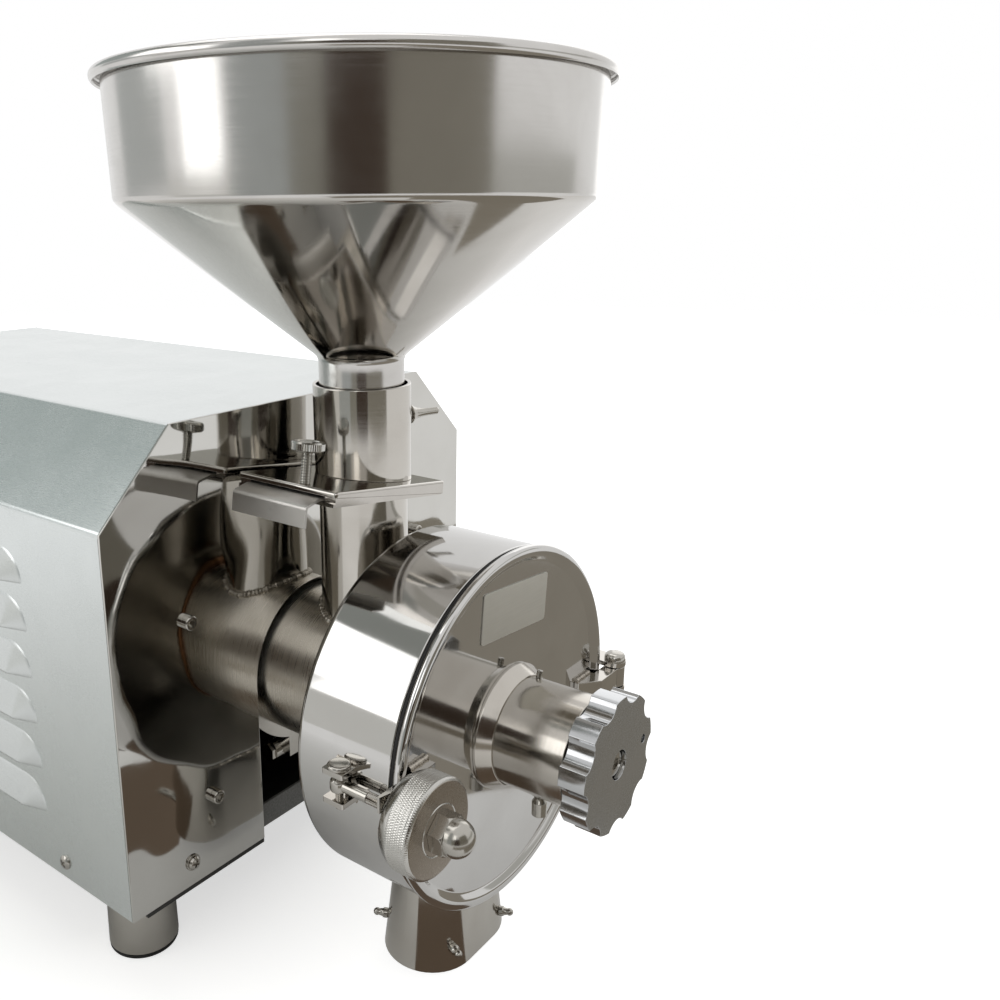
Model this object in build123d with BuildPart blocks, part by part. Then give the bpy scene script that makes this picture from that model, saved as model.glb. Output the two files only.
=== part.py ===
from build123d import *
import os
from math import atan, cos, radians, sin, tan

os.makedirs("parts", exist_ok=True)

# Driving dimensions in millimetres.
# The mill faces -Y, +X is to its right seen from the front, and z = 0 is the bench.
housing_width = 309.0
housing_length = 460.0
housing_bottom = 59.0
housing_side_top = 287.5
housing_top = 336.5
housing_chamfer = 48.5
sheet = 1.5
axis_z = 165.5
knob_reach = 213.0
gland_reach = 14.0
barrel_radius = 49.5
barrel_bore = 45.5
cutout_radius = 53.0
drum_radius = 101.5
drum_wall = 2.5
drum_back = 78.5
drum_front = 141.5
door_radius = 103.0
door_face = 146.0
door_bead = 149.0
stone_radius = 72.0
stone_gap = 0.6
feed_reach = 42.0
feed_pipe_radius = 26.2
feed_bore = 24.2
sleeve_radius = 28.3
sleeve_top = 348.0
neck_radius = 24.5
cone_bottom = 363.3
cone_top = 448.0
bowl_radius = 130.0
bowl_top_radius = 131.8
curl_z = 508.5
curl_radius = 2.5
hopper_sheet = 1.2
gate_z = 293.5
gate_slope = 0.15
hinge_x = 112.0
hinge_reach = 154.0
latch_x = -107.0
latch_reach = 115.0
latch_z = 169.0
outlet_bottom = 10.0
leg_inset = 48.9
leg_spread = 229.2
fit_gap = 0.05

# The panel stands where the whole length, knob to cable gland, is centred on y = 0.
panel_y = (knob_reach - housing_length - gland_reach) / 2
half_width = housing_width / 2
shoulder = half_width - housing_chamfer


def ahead(distance):
    """y of a point this far in front of the front panel's face; negative distances lie behind it."""
    return panel_y - distance


mill_axis = Axis((0, 0, axis_z), (0, 1, 0))
feed_y = ahead(feed_reach)
gate_tilt = atan(gate_slope)
gate_plane = Plane(
    origin=(0, feed_y, gate_z),
    x_dir=(cos(gate_tilt), 0, -sin(gate_tilt)),
    z_dir=(sin(gate_tilt), 0, cos(gate_tilt)),
)


def front_plane(distance):
    """Plane parallel to the panel and facing the front, drawn on in x and z."""
    return Plane(origin=(0, ahead(distance), 0), x_dir=(1, 0, 0), z_dir=(0, -1, 0))


def vertical(x, y):
    return Axis((x, y, 0), (0, 0, 1))


def turned(*stations):
    """Face to turn about the mill axis, from corners (distance ahead of the panel, radius)."""
    with BuildSketch(Plane.YZ) as section:
        with BuildLine():
            Polyline(*[(ahead(distance), axis_z + radius) for distance, radius in stations], close=True)
        make_face()
    return section.sketch


def upright(x, y, *corners):
    """Face to turn about the vertical through (x, y), from corners (radius, z)."""
    with BuildSketch(Plane((x, y, 0), x_dir=(1, 0, 0), z_dir=(0, -1, 0))) as section:
        with BuildLine():
            Polyline(*corners, close=True)
        make_face()
    return section.sketch


def spun(plane, *corners):
    """Face to turn about a plane's normal, from corners (radius, height above the plane)."""
    upright_plane = Plane(origin=plane.origin, x_dir=plane.x_dir, z_dir=-plane.y_dir)
    with BuildSketch(upright_plane) as section:
        with BuildLine():
            Polyline(*corners, close=True)
        make_face()
    return section.sketch


def normal_axis(plane):
    return Axis(plane.origin, plane.z_dir)


# Housing
housing_corners = [
    (-half_width, housing_bottom),
    (-half_width, housing_side_top),
    (-shoulder, housing_top),
    (shoulder, housing_top),
    (half_width, housing_side_top),
    (half_width, housing_bottom),
]
louvre_start = 78.0
louvre_length = 120.0
louvre_height = 18.0
louvre_depth = 6.0
louvre_lap = 3.0
louvre_wall = 1.2
louvre_rows = [108.5 + 29.0 * row for row in range(6)]
side_screw_places = [(-64.0, 70.0), (64.0 - housing_length, 70.0)]
panel_screw_places = [(-110.7, 74.0), (110.7, 74.0)]
socket_places = [(-103.0, 224.0), (103.0, 224.0), (-91.0, 109.0), (91.0, 109.0)]
screw_hole = 2.6
screw_shank = 2.5


def louvre_section(side, z, inset, lap):
    """Section of one pressed louvre hood: flush at its top, standing out and open at its foot."""
    foot_z = z - louvre_height / 2
    crown_z = z + louvre_height / 2 - lap
    reach = louvre_depth - inset
    bulge = (side * (half_width + 0.8 * reach), foot_z + 0.45 * (crown_z - foot_z))
    with BuildSketch(front_plane(-louvre_start - inset)) as section:
        with BuildLine():
            Polyline(
                (side * (half_width + reach), foot_z),
                (side * (half_width - sheet), foot_z),
                (side * (half_width - sheet), crown_z),
                (side * half_width, crown_z),
            )
            ThreePointArc((side * half_width, crown_z), bulge, (side * (half_width + reach), foot_z))
        make_face()
    return section.sketch


with BuildPart() as housing_cover:
    with BuildSketch(front_plane(-sheet)):
        with BuildLine():
            Polyline(*housing_corners, close=True)
        make_face()
        offset(amount=-sheet, kind=Kind.INTERSECTION, mode=Mode.SUBTRACT)
        with Locations((0, housing_bottom)):
            Rectangle(housing_width - 2 * sheet, 4 * sheet, mode=Mode.SUBTRACT)
    extrude(amount=2 * sheet - housing_length)
    for side in (-1, 1):
        for z in louvre_rows:
            extrude(louvre_section(side, z, 0, 0), amount=-louvre_length)
        for z in louvre_rows:
            hollow = louvre_section(side, z, louvre_wall, louvre_lap)
            extrude(hollow, amount=2 * louvre_wall - louvre_length, mode=Mode.SUBTRACT)
        for distance, z in side_screw_places:
            with BuildSketch(Plane((side * half_width, ahead(distance), z), z_dir=(side, 0, 0))):
                Circle(screw_hole)
            extrude(amount=-2 * sheet, mode=Mode.SUBTRACT)

with BuildPart() as front_panel:
    with BuildSketch(front_plane(0)):
        with BuildLine():
            Polyline(*housing_corners, close=True)
        make_face()
        with Locations((0, axis_z)):
            Circle(cutout_radius, mode=Mode.SUBTRACT)
        with Locations((0, axis_z / 2)):
            Rectangle(2 * cutout_radius, axis_z, mode=Mode.SUBTRACT)
        with Locations(*panel_screw_places, *socket_places):
            Circle(screw_hole, mode=Mode.SUBTRACT)
    extrude(amount=-sheet)

stiffener = 6.0
stiffener_width = 250.0
stiffener_height = 150.0
stiffener_inner = 58.0
with BuildPart() as panel_stiffener:
    with BuildSketch(front_plane(-sheet)):
        with Locations((0, axis_z)):
            Rectangle(stiffener_width, stiffener_height)
            Circle(stiffener_inner, mode=Mode.SUBTRACT)
        with Locations((0, axis_z / 2)):
            Rectangle(2 * stiffener_inner, axis_z, mode=Mode.SUBTRACT)
        with Locations(*socket_places):
            Circle(screw_shank, mode=Mode.SUBTRACT)
    extrude(amount=-stiffener)

rear_face = sheet - housing_length
switch_x = -80.0
switch_z = 240.0
switch_width = 22.0
switch_height = 30.0
gland_x = -80.0
gland_z = 110.0
gland_thread = 8.0
vent_x = 35.0
vent_length = 110.0
vent_height = 6.0
vent_pitch = 14.0
vent_count = 9
with BuildPart() as rear_panel:
    with BuildSketch(front_plane(rear_face)):
        with BuildLine():
            Polyline(*housing_corners, close=True)
        make_face()
        with Locations((vent_x, axis_z)):
            with GridLocations(0, vent_pitch, 1, vent_count):
                SlotOverall(vent_length, vent_height, mode=Mode.SUBTRACT)
        with Locations((switch_x, switch_z)):
            Rectangle(switch_width, switch_height, mode=Mode.SUBTRACT)
        with Locations((gland_x, gland_z)):
            Circle(gland_thread, mode=Mode.SUBTRACT)
    extrude(amount=-sheet)

# Base tray with side upstands, a notch behind the cut-out and a tab behind each panel screw
base_sheet = 2.0
base_top = housing_bottom + base_sheet
tray_half = half_width - sheet
tray_clear = 2 * (tray_half - base_sheet)
upstand = 25.0
tab_width = 46.0
tab_height = 28.0
notch_depth = 25.0
leg_bolt_radius = 4.0
leg_places = [
    (side * leg_spread / 2, ahead(distance))
    for side in (-1, 1)
    for distance in (-leg_inset, leg_inset - housing_length)
]
with BuildPart() as base_plate:
    with BuildSketch(front_plane(-sheet)):
        with Locations((0, housing_bottom)):
            Rectangle(2 * tray_half, upstand, align=(Align.CENTER, Align.MIN))
        with Locations((0, base_top)):
            Rectangle(tray_clear, upstand, align=(Align.CENTER, Align.MIN), mode=Mode.SUBTRACT)
    extrude(amount=2 * sheet - housing_length)
    with BuildSketch(front_plane(-sheet)):
        with Locations(*[(x, base_top) for x, z in panel_screw_places]):
            Rectangle(tab_width, tab_height, align=(Align.CENTER, Align.MIN))
        with Locations(*panel_screw_places):
            Circle(screw_shank, mode=Mode.SUBTRACT)
    extrude(amount=-base_sheet)
    with BuildSketch(Plane.XY.offset(housing_bottom)):
        with Locations((0, ahead(-sheet))):
            Rectangle(2 * stiffener_inner, notch_depth)
        with Locations(*leg_places):
            Circle(leg_bolt_radius)
    extrude(amount=base_sheet, mode=Mode.SUBTRACT)
    for side in (-1, 1):
        for distance, z in side_screw_places:
            with BuildSketch(Plane((side * tray_half, ahead(distance), z), z_dir=(side, 0, 0))):
                Circle(screw_shank)
            extrude(amount=-base_sheet, mode=Mode.SUBTRACT)

# Legs: slightly tapering metal cups on rubber pads
leg_foot_radius = 21.4
leg_top_radius = 20.4
leg_wall = 2.0
leg_top_plate = 4.0
pad_height = 3.0
pad_inset = 0.3
pad_chamfer = 1.0
with BuildPart() as legs:
    for x, y in leg_places:
        leg = upright(
            x,
            y,
            (leg_foot_radius, pad_height),
            (leg_top_radius, housing_bottom),
            (leg_bolt_radius, housing_bottom),
            (leg_bolt_radius, housing_bottom - leg_top_plate),
            (leg_top_radius - leg_wall, housing_bottom - leg_top_plate),
            (leg_foot_radius - leg_wall, pad_height),
        )
        revolve(leg, axis=vertical(x, y))

with BuildPart() as leg_pads:
    plug_top = 2 * pad_height
    pad_radius = leg_foot_radius - pad_inset
    for x, y in leg_places:
        pad = upright(
            x,
            y,
            (0, 0),
            (pad_radius - pad_chamfer / 2, 0),
            (pad_radius, pad_chamfer),
            (pad_radius, pad_height),
            (pad_radius - leg_wall, pad_height),
            (pad_radius - leg_wall, plug_top),
            (0, plug_top),
        )
        revolve(pad, axis=vertical(x, y))

# Screws of the housing
washer_radius = 5.0
washer_thickness = 1.0
pan_head_radius = 4.0
pan_head_height = 2.4
panel_screw_length = 9.0
cap_head_radius = 4.2
cap_head_height = 4.5
socket_radius = 2.3
socket_depth = 2.2
socket_screw_length = 12.0
side_head_radius = 4.5
side_head_height = 2.2
side_screw_length = 8.0
with BuildPart() as panel_screws:
    for x, z in panel_screw_places:
        with BuildSketch(front_plane(0)):
            with Locations((x, z)):
                Circle(washer_radius)
        extrude(amount=washer_thickness)
        with BuildSketch(front_plane(washer_thickness)):
            with Locations((x, z)):
                Circle(pan_head_radius)
        extrude(amount=pan_head_height)
        with BuildSketch(front_plane(0)):
            with Locations((x, z)):
                Circle(screw_shank)
        extrude(amount=-panel_screw_length)

with BuildPart() as socket_screws:
    for x, z in socket_places:
        with BuildSketch(front_plane(0)):
            with Locations((x, z)):
                Circle(cap_head_radius)
        extrude(amount=cap_head_height)
        with BuildSketch(front_plane(cap_head_height)):
            with Locations((x, z)):
                RegularPolygon(socket_radius, 6)
        extrude(amount=-socket_depth, mode=Mode.SUBTRACT)
        with BuildSketch(front_plane(0)):
            with Locations((x, z)):
                Circle(screw_shank)
        extrude(amount=-socket_screw_length)

with BuildPart() as side_screws:
    for side in (-1, 1):
        for distance, z in side_screw_places:
            seat = Plane((side * half_width, ahead(distance), z), z_dir=(side, 0, 0))
            with BuildSketch(seat):
                Circle(side_head_radius)
            extrude(amount=side_head_height)
            with BuildSketch(seat):
                Circle(screw_shank)
            extrude(amount=-side_screw_length)

# Motor inside the housing
motor_radius = 78.0
stator_bore = 46.0
front_bearing = (15.0, 31.0, 16.0)
rear_bearing = (12.5, 26.0, 15.0)
motor_front = 95.0
motor_rear = 280.0
foot_spread = 110.0
foot_pitch = 130.0
foot_width = 36.0
foot_length = 40.0
foot_height = 50.0
shaft_play = 2.0
with BuildPart() as motor_frame:
    frame_section = turned(
        (-motor_front, stator_bore),
        (-motor_front, motor_radius),
        (-motor_rear, motor_radius),
        (-motor_rear, stator_bore),
    )
    revolve(frame_section, axis=mill_axis)
    with BuildSketch(Plane.XY.offset(base_top)):
        with Locations((0, ahead(-(motor_front + motor_rear) / 2))):
            with GridLocations(foot_spread, foot_pitch, 2, 2):
                Rectangle(foot_width, foot_length)
    extrude(amount=foot_height)

spigot_start = 8.0
spigot_radius = 45.4
spigot_bore = 38.0
bell_front = 72.0
bell_web = 2.0
with BuildPart() as motor_front_bell:
    shaft_radius, seat_radius, bearing_width = front_bearing
    bell_section = turned(
        (-spigot_start, spigot_radius),
        (-bell_front, spigot_radius),
        (-bell_front, motor_radius),
        (-motor_front, motor_radius),
        (-motor_front, seat_radius),
        (bearing_width - motor_front, seat_radius),
        (bearing_width - motor_front, shaft_radius + shaft_play),
        (bell_web - bell_front, shaft_radius + shaft_play),
        (bell_web - bell_front, spigot_bore),
        (-spigot_start, spigot_bore),
    )
    revolve(bell_section, axis=mill_axis)

rear_bell_width = 18.0
rear_bell_end = motor_rear + rear_bell_width
with BuildPart() as motor_rear_bell:
    shaft_radius, seat_radius, bearing_width = rear_bearing
    bell_section = turned(
        (-motor_rear, motor_radius),
        (-rear_bell_end, motor_radius),
        (-rear_bell_end, shaft_radius + shaft_play),
        (-motor_rear - bearing_width, shaft_radius + shaft_play),
        (-motor_rear - bearing_width, seat_radius),
        (-motor_rear, seat_radius),
    )
    revolve(bell_section, axis=mill_axis)

with BuildPart() as motor_bearings:
    bearing_backs = (motor_front, motor_rear + rear_bearing[2])
    for back, (bore, outer, width) in zip(bearing_backs, (front_bearing, rear_bearing)):
        ring = turned(
            (-back, bore + fit_gap),
            (-back, outer),
            (width - back, outer),
            (width - back, bore + fit_gap),
        )
        revolve(ring, axis=mill_axis)

# Power switch and cable gland on the rear panel
bezel = 2.0
bezel_rim = 3.0
switch_depth = 24.0
switch_wall = 2.0
switch_pocket = 14.0
with BuildPart() as switch_body:
    outer_face = -housing_length
    with BuildSketch(front_plane(outer_face)):
        with Locations((switch_x, switch_z)):
            Rectangle(switch_width + 2 * bezel_rim, switch_height + 2 * bezel_rim)
    extrude(amount=-bezel)
    with BuildSketch(front_plane(outer_face)):
        with Locations((switch_x, switch_z)):
            Rectangle(switch_width, switch_height)
    extrude(amount=switch_depth)
    with BuildSketch(front_plane(outer_face - bezel)):
        with Locations((switch_x, switch_z)):
            Rectangle(switch_width - 2 * switch_wall, switch_height - 2 * switch_wall)
    extrude(amount=switch_pocket, mode=Mode.SUBTRACT)

# The rocker's two faces meet at a shallow angle over its pivot; its upper half stands out when off.
rocker_pivot_y = ahead(-housing_length - 1)
rocker_half = switch_height / 2 - 3
rocker_rise = 3.5
rocker_root = 4.0
rocker_play = 0.6
with BuildPart() as switch_rocker:
    with BuildSketch(Plane((switch_x, rocker_pivot_y, switch_z), x_dir=(0, 1, 0), z_dir=(1, 0, 0))):
        with BuildLine():
            Polyline(
                (-rocker_root, -rocker_half + 2),
                (0, -rocker_half),
                (1, -rocker_half),
                (1.6, 0),
                (1 + rocker_rise, rocker_half - rocker_play),
                (0, rocker_half - rocker_play),
                (-rocker_root, rocker_half - 3),
                close=True,
            )
        make_face()
    extrude(amount=switch_width / 2 - switch_wall - rocker_play, both=True)

gland_bore = 4.5
gland_hex = 13.0
gland_hex_height = 6.0
gland_cap = 10.0
gland_tail = 16.0
gland_nut = 12.0
gland_nut_height = 5.0
with BuildPart() as cable_gland:
    with BuildSketch(front_plane(-housing_length)):
        with Locations((gland_x, gland_z)):
            RegularPolygon(gland_hex, 6)
    extrude(amount=-gland_hex_height)
    with BuildSketch(front_plane(-housing_length - gland_hex_height)):
        with Locations((gland_x, gland_z)):
            Circle(gland_cap)
    extrude(amount=-(gland_reach - gland_hex_height))
    with BuildSketch(front_plane(-housing_length)):
        with Locations((gland_x, gland_z)):
            Circle(gland_thread)
    extrude(amount=gland_tail)
    with BuildSketch(front_plane(rear_face)):
        with Locations((gland_x, gland_z)):
            RegularPolygon(gland_nut, 6)
    extrude(amount=gland_nut_height)
    with BuildSketch(front_plane(gland_tail - housing_length)):
        with Locations((gland_x, gland_z)):
            Circle(gland_bore)
    extrude(amount=-(gland_reach + gland_tail), mode=Mode.SUBTRACT)

# Feed barrel, its clamp, and the feed pipe welded on top
barrel_end = 40.0
with BuildPart() as feed_barrel:
    barrel_section = turned(
        (drum_back, barrel_bore),
        (drum_back, barrel_radius),
        (-barrel_end, barrel_radius),
        (-barrel_end, barrel_bore),
    )
    revolve(barrel_section, axis=mill_axis)
    with BuildSketch(Plane.XY.offset(axis_z)):
        with Locations((0, feed_y)):
            Circle(feed_bore)
    extrude(amount=barrel_radius, mode=Mode.SUBTRACT)

clamp_start = 10.0
clamp_width = 20.0
clamp_radius = 57.0
clamp_bolt_z = axis_z - 64.5
clamp_half = 26.0
clamp_split = 3.0
clamp_boss_radius = 6.5
clamp_bolt_radius = 3.5
clamp_lug_width = 36.0
clamp_lug_height = 20.0
clamp_lug_rise = 6.0
clamp_split_height = 40.0
bolt_hex = 6.0
bolt_head = 3.0
bolt_nut = 5.0
bolt_tail = 10.0
clamp_y = ahead(-clamp_start - clamp_width / 2)
with BuildPart() as barrel_clamp:
    with BuildSketch(front_plane(-clamp_start)):
        with Locations((0, axis_z)):
            Circle(clamp_radius)
        with Locations((0, clamp_bolt_z + clamp_lug_rise)):
            Rectangle(clamp_lug_width, clamp_lug_height)
        with Locations((0, axis_z)):
            Circle(barrel_radius, mode=Mode.SUBTRACT)
        with Locations((0, clamp_bolt_z)):
            Rectangle(clamp_split, clamp_split_height, mode=Mode.SUBTRACT)
    extrude(amount=-clamp_width)
    for side in (-1, 1):
        with BuildSketch(Plane((side * clamp_half, clamp_y, clamp_bolt_z), z_dir=(-side, 0, 0))):
            Circle(clamp_boss_radius)
        extrude(amount=clamp_half - clamp_split / 2)
    with BuildSketch(Plane((-clamp_half, clamp_y, clamp_bolt_z), z_dir=(1, 0, 0))):
        Circle(clamp_bolt_radius)
    extrude(amount=2 * clamp_half, mode=Mode.SUBTRACT)

with BuildPart() as clamp_bolt:
    bolt_place = Plane((-clamp_half - bolt_head, clamp_y, clamp_bolt_z), z_dir=(1, 0, 0))
    with BuildSketch(bolt_place):
        RegularPolygon(bolt_hex, 6)
    extrude(amount=bolt_head)
    with BuildSketch(bolt_place):
        Circle(clamp_bolt_radius)
    extrude(amount=2 * clamp_half + bolt_tail)
    with BuildSketch(bolt_place.offset(2 * clamp_half + bolt_head)):
        RegularPolygon(bolt_hex, 6)
    extrude(amount=bolt_nut)

# Sliding feed gate, tilted to one side so that its finger lip stands highest
guide_left = -65.0
guide_right = 31.5
guide_half = 37.0
guide_lip = 7.5
guide_left_lip = 3.2
seat_top = -6.3
seat_thickness = 2.0
gate_top = -4.5
gate_half = 27.5
gate_left = -77.0
gate_right = 29.0
gate_lip = 19.6
gate_dip = 3.5
gate_dip_start = -67.0
thumb_x = -57.0
thumb_y = -7.0
thumb_shank = 3.0
guide_middle = (guide_left + guide_right) / 2
guide_length = guide_right - guide_left
port_radius = 22.0
rail_play = 0.4
rail_width = guide_half - sheet - gate_half - rail_play

with BuildPart() as feed_pipe:
    with BuildSketch(Plane.XY.offset(axis_z)):
        with Locations((0, feed_y)):
            Circle(feed_pipe_radius)
            Circle(feed_bore, mode=Mode.SUBTRACT)
    extrude(amount=gate_z - axis_z + 10)
    barrel_body = turned((0, 0), (0, barrel_radius), (drum_back, barrel_radius), (drum_back, 0))
    revolve(barrel_body, axis=mill_axis, mode=Mode.SUBTRACT)
    split(bisect_by=gate_plane.offset(seat_top - seat_thickness), keep=Keep.BOTTOM)

with BuildPart() as gate_seat:
    with BuildSketch(gate_plane.offset(seat_top - seat_thickness)):
        with Locations((guide_middle - sheet / 2, 0)):
            Rectangle(guide_length - sheet, 2 * (guide_half - sheet))
        Circle(feed_bore, mode=Mode.SUBTRACT)
    extrude(amount=seat_thickness)
    with BuildSketch(gate_plane.offset(seat_top)):
        with Locations((guide_middle, 0)):
            with GridLocations(0, 2 * (guide_half - sheet) - rail_width, 1, 2):
                Rectangle(guide_length - 2 * sheet, rail_width)
    extrude(amount=-seat_top - sheet)

with BuildPart() as gate_guide:
    with BuildSketch(gate_plane.offset(-sheet)):
        with Locations((guide_middle, 0)):
            Rectangle(guide_length, 2 * guide_half)
        Circle(port_radius, mode=Mode.SUBTRACT)
        with Locations((thumb_x, thumb_y)):
            Circle(thumb_shank + fit_gap, mode=Mode.SUBTRACT)
    extrude(amount=sheet)
    with BuildSketch(gate_plane.offset(-guide_lip)):
        with Locations((guide_middle, 0)):
            Rectangle(guide_length, 2 * guide_half)
        with Locations((guide_middle - sheet, 0)):
            Rectangle(guide_length, 2 * (guide_half - sheet), mode=Mode.SUBTRACT)
    extrude(amount=guide_lip - sheet)
    with BuildSketch(gate_plane.offset(-guide_left_lip)):
        with Locations((guide_left + sheet / 2, 0)):
            Rectangle(sheet, 2 * guide_half)
    extrude(amount=guide_left_lip - sheet)

gate_side = Plane(origin=gate_plane.origin, x_dir=gate_plane.x_dir, z_dir=-gate_plane.y_dir)
gate_bend = 3.0
with BuildPart() as gate_plate:
    with BuildSketch(gate_side):
        with BuildLine():
            Polyline(
                (gate_right, gate_top - sheet),
                (gate_right, gate_top),
                (gate_dip_start, gate_top),
                (gate_left, gate_top - gate_dip),
                (gate_left, -gate_lip),
                (gate_left + sheet, -gate_lip),
                (gate_left + sheet, gate_top - sheet - gate_dip),
                (gate_dip_start + sheet, gate_top - sheet),
                close=True,
            )
        make_face()
    extrude(amount=gate_half, both=True)
    outer_bend = gate_plane.from_local_coords((gate_left, 0, gate_top - gate_dip))
    fillet(gate_plate.edges().filter_by(Axis.Y).sort_by_distance(outer_bend)[0], radius=gate_bend)

thumb_plane = Plane(
    origin=gate_plane.from_local_coords((thumb_x, thumb_y, 0)),
    x_dir=gate_plane.x_dir,
    z_dir=gate_plane.z_dir,
)
thumb_head = 9.5
thumb_head_start = 17.3
thumb_head_end = 22.5
thumb_bevel = 0.8
tip_play = 0.4
with BuildPart() as thumb_screw:
    thumb_section = spun(
        thumb_plane,
        (0, gate_top + tip_play),
        (thumb_shank, gate_top + tip_play),
        (thumb_shank, thumb_head_start),
        (thumb_head - thumb_bevel, thumb_head_start),
        (thumb_head, thumb_head_start + thumb_bevel),
        (thumb_head, thumb_head_end - thumb_bevel),
        (thumb_head - thumb_bevel, thumb_head_end),
        (0, thumb_head_end),
    )
    revolve(thumb_section, axis=normal_axis(thumb_plane))

# Hopper in its sleeve, held by a lock screw
sleeve_wall = 2.0
lock_z = 326.0
lock_angle = radians(-20)
lock_plane = Plane(
    origin=(0, feed_y, lock_z),
    x_dir=(0, 0, 1),
    z_dir=(cos(lock_angle), sin(lock_angle), 0),
)
lock_shank = 2.0
lock_boss_radius = 4.5
with BuildPart() as hopper_sleeve:
    with BuildSketch(Plane.XY.offset(gate_z - 10)):
        with Locations((0, feed_y)):
            Circle(sleeve_radius)
            Circle(sleeve_radius - sleeve_wall, mode=Mode.SUBTRACT)
    extrude(amount=sleeve_top - gate_z + 10)
    split(bisect_by=gate_plane, keep=Keep.TOP)
    with BuildSketch(lock_plane):
        Circle(lock_boss_radius)
    extrude(amount=2 * sleeve_radius, mode=Mode.SUBTRACT)

lock_boss_end = 31.5
with BuildPart() as lock_boss:
    with BuildSketch(lock_plane.offset(sleeve_radius - sleeve_wall)):
        Circle(lock_boss_radius)
        Circle(lock_shank + fit_gap, mode=Mode.SUBTRACT)
    extrude(amount=lock_boss_end - sleeve_radius + sleeve_wall)

with BuildPart() as lock_screw:
    lock_section = spun(
        lock_plane,
        (0, neck_radius + 0.6),
        (lock_shank, neck_radius + 0.6),
        (lock_shank, lock_boss_end + 0.4),
        (5.6, lock_boss_end + 0.4),
        (5.6, lock_boss_end + 1.4),
        (3.4, lock_boss_end + 5),
        (2.4, lock_boss_end + 9),
        (2.2, lock_boss_end + 20),
        (1.4, lock_boss_end + 21),
        (0, lock_boss_end + 21),
    )
    revolve(lock_section, axis=normal_axis(lock_plane))

neck_bottom = gate_z + gate_slope * neck_radius + 0.4
curl_middle = bowl_top_radius + curl_radius
curl_end = radians(-60)
with BuildPart() as hopper:
    with BuildSketch(Plane((0, feed_y, 0), x_dir=(1, 0, 0), z_dir=(0, -1, 0))):
        with BuildLine():
            Polyline(
                (neck_radius, neck_bottom),
                (neck_radius, cone_bottom),
                (bowl_radius, cone_top),
                (bowl_top_radius, curl_z),
            )
            ThreePointArc(
                (bowl_top_radius, curl_z),
                (curl_middle, curl_z + curl_radius),
                (curl_middle + curl_radius, curl_z),
            )
            ThreePointArc(
                (curl_middle + curl_radius, curl_z),
                (curl_middle + curl_radius * cos(curl_end / 2), curl_z + curl_radius * sin(curl_end / 2)),
                (curl_middle + curl_radius * cos(curl_end), curl_z + curl_radius * sin(curl_end)),
            )
            offset(amount=hopper_sheet, side=Side.LEFT, kind=Kind.INTERSECTION)
        make_face()
    revolve(axis=vertical(0, feed_y))

# Grinding drum with its outlet chute
back_plate = 4.0
chute_length = 57.0
chute_width = 84.0
chute_corner = 28.4
chute_wall = 1.5
chute_reach = 102.5
chute_top = 80.0
chute_taper = 6.5
port_length = 38.0
port_width = 64.0
port_corner = 18.0
port_top = 105.0
chute_clear_width = chute_width - 2 * chute_wall
chute_clear_length = chute_length - 2 * chute_wall
with BuildPart() as drum_shell:
    drum_section = turned(
        (drum_back, barrel_bore),
        (drum_back, drum_radius),
        (drum_front, drum_radius),
        (drum_front, drum_radius - drum_wall),
        (drum_back + back_plate, drum_radius - drum_wall),
        (drum_back + back_plate, barrel_bore),
    )
    revolve(drum_section, axis=mill_axis)
    with BuildSketch(Plane.XY.offset(outlet_bottom)):
        with Locations((0, ahead(chute_reach))):
            RectangleRounded(port_width, port_length, port_corner)
    extrude(amount=port_top - outlet_bottom, mode=Mode.SUBTRACT)

with BuildPart() as outlet_chute:
    with BuildSketch(Plane.XY.offset(outlet_bottom)):
        with Locations((0, ahead(chute_reach))):
            RectangleRounded(chute_width, chute_length, chute_corner)
    extrude(amount=chute_top - outlet_bottom, taper=chute_taper)
    with BuildSketch(Plane.XY.offset(outlet_bottom)):
        with Locations((0, ahead(chute_reach))):
            RectangleRounded(chute_clear_width, chute_clear_length, chute_corner - chute_wall)
    extrude(amount=chute_top - outlet_bottom, taper=chute_taper, mode=Mode.SUBTRACT)
    drum_body = turned((drum_back, 0), (drum_back, drum_radius), (drum_front, drum_radius), (drum_front, 0))
    revolve(drum_body, axis=mill_axis, mode=Mode.SUBTRACT)

# Four pins round the outlet hold a bag's hem
pin_length = 9.0
pin_base = 3.0
pin_tip = 0.8
pin_places = ((123, -1, 1, 27.0), (245, -1, -1, 24.0), (290, 1, -1, 20.5), (60, 1, 1, 24.0))
with BuildPart() as bag_pins:
    corner_x = chute_width / 2 - chute_corner
    corner_y = chute_length / 2 - chute_corner
    for angle, x_sign, y_sign, pin_z in pin_places:
        corner_radius = chute_corner - (pin_z - outlet_bottom) * tan(radians(chute_taper))
        out = Vector(cos(radians(angle)), sin(radians(angle)), 0)
        along = Vector(-sin(radians(angle)), cos(radians(angle)), 0)
        corner = Vector(x_sign * corner_x, ahead(chute_reach) + y_sign * corner_y, pin_z)
        pin_root = corner + out * corner_radius
        pin_plane = Plane(origin=pin_root, x_dir=along, z_dir=out + Vector(0, 0, tan(radians(chute_taper))))
        cone = spun(
            pin_plane,
            (0, 0),
            (pin_base, 0),
            (pin_base, pin_base),
            (pin_tip, pin_length),
            (0, pin_length),
        )
        revolve(cone, axis=normal_axis(pin_plane))

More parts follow.
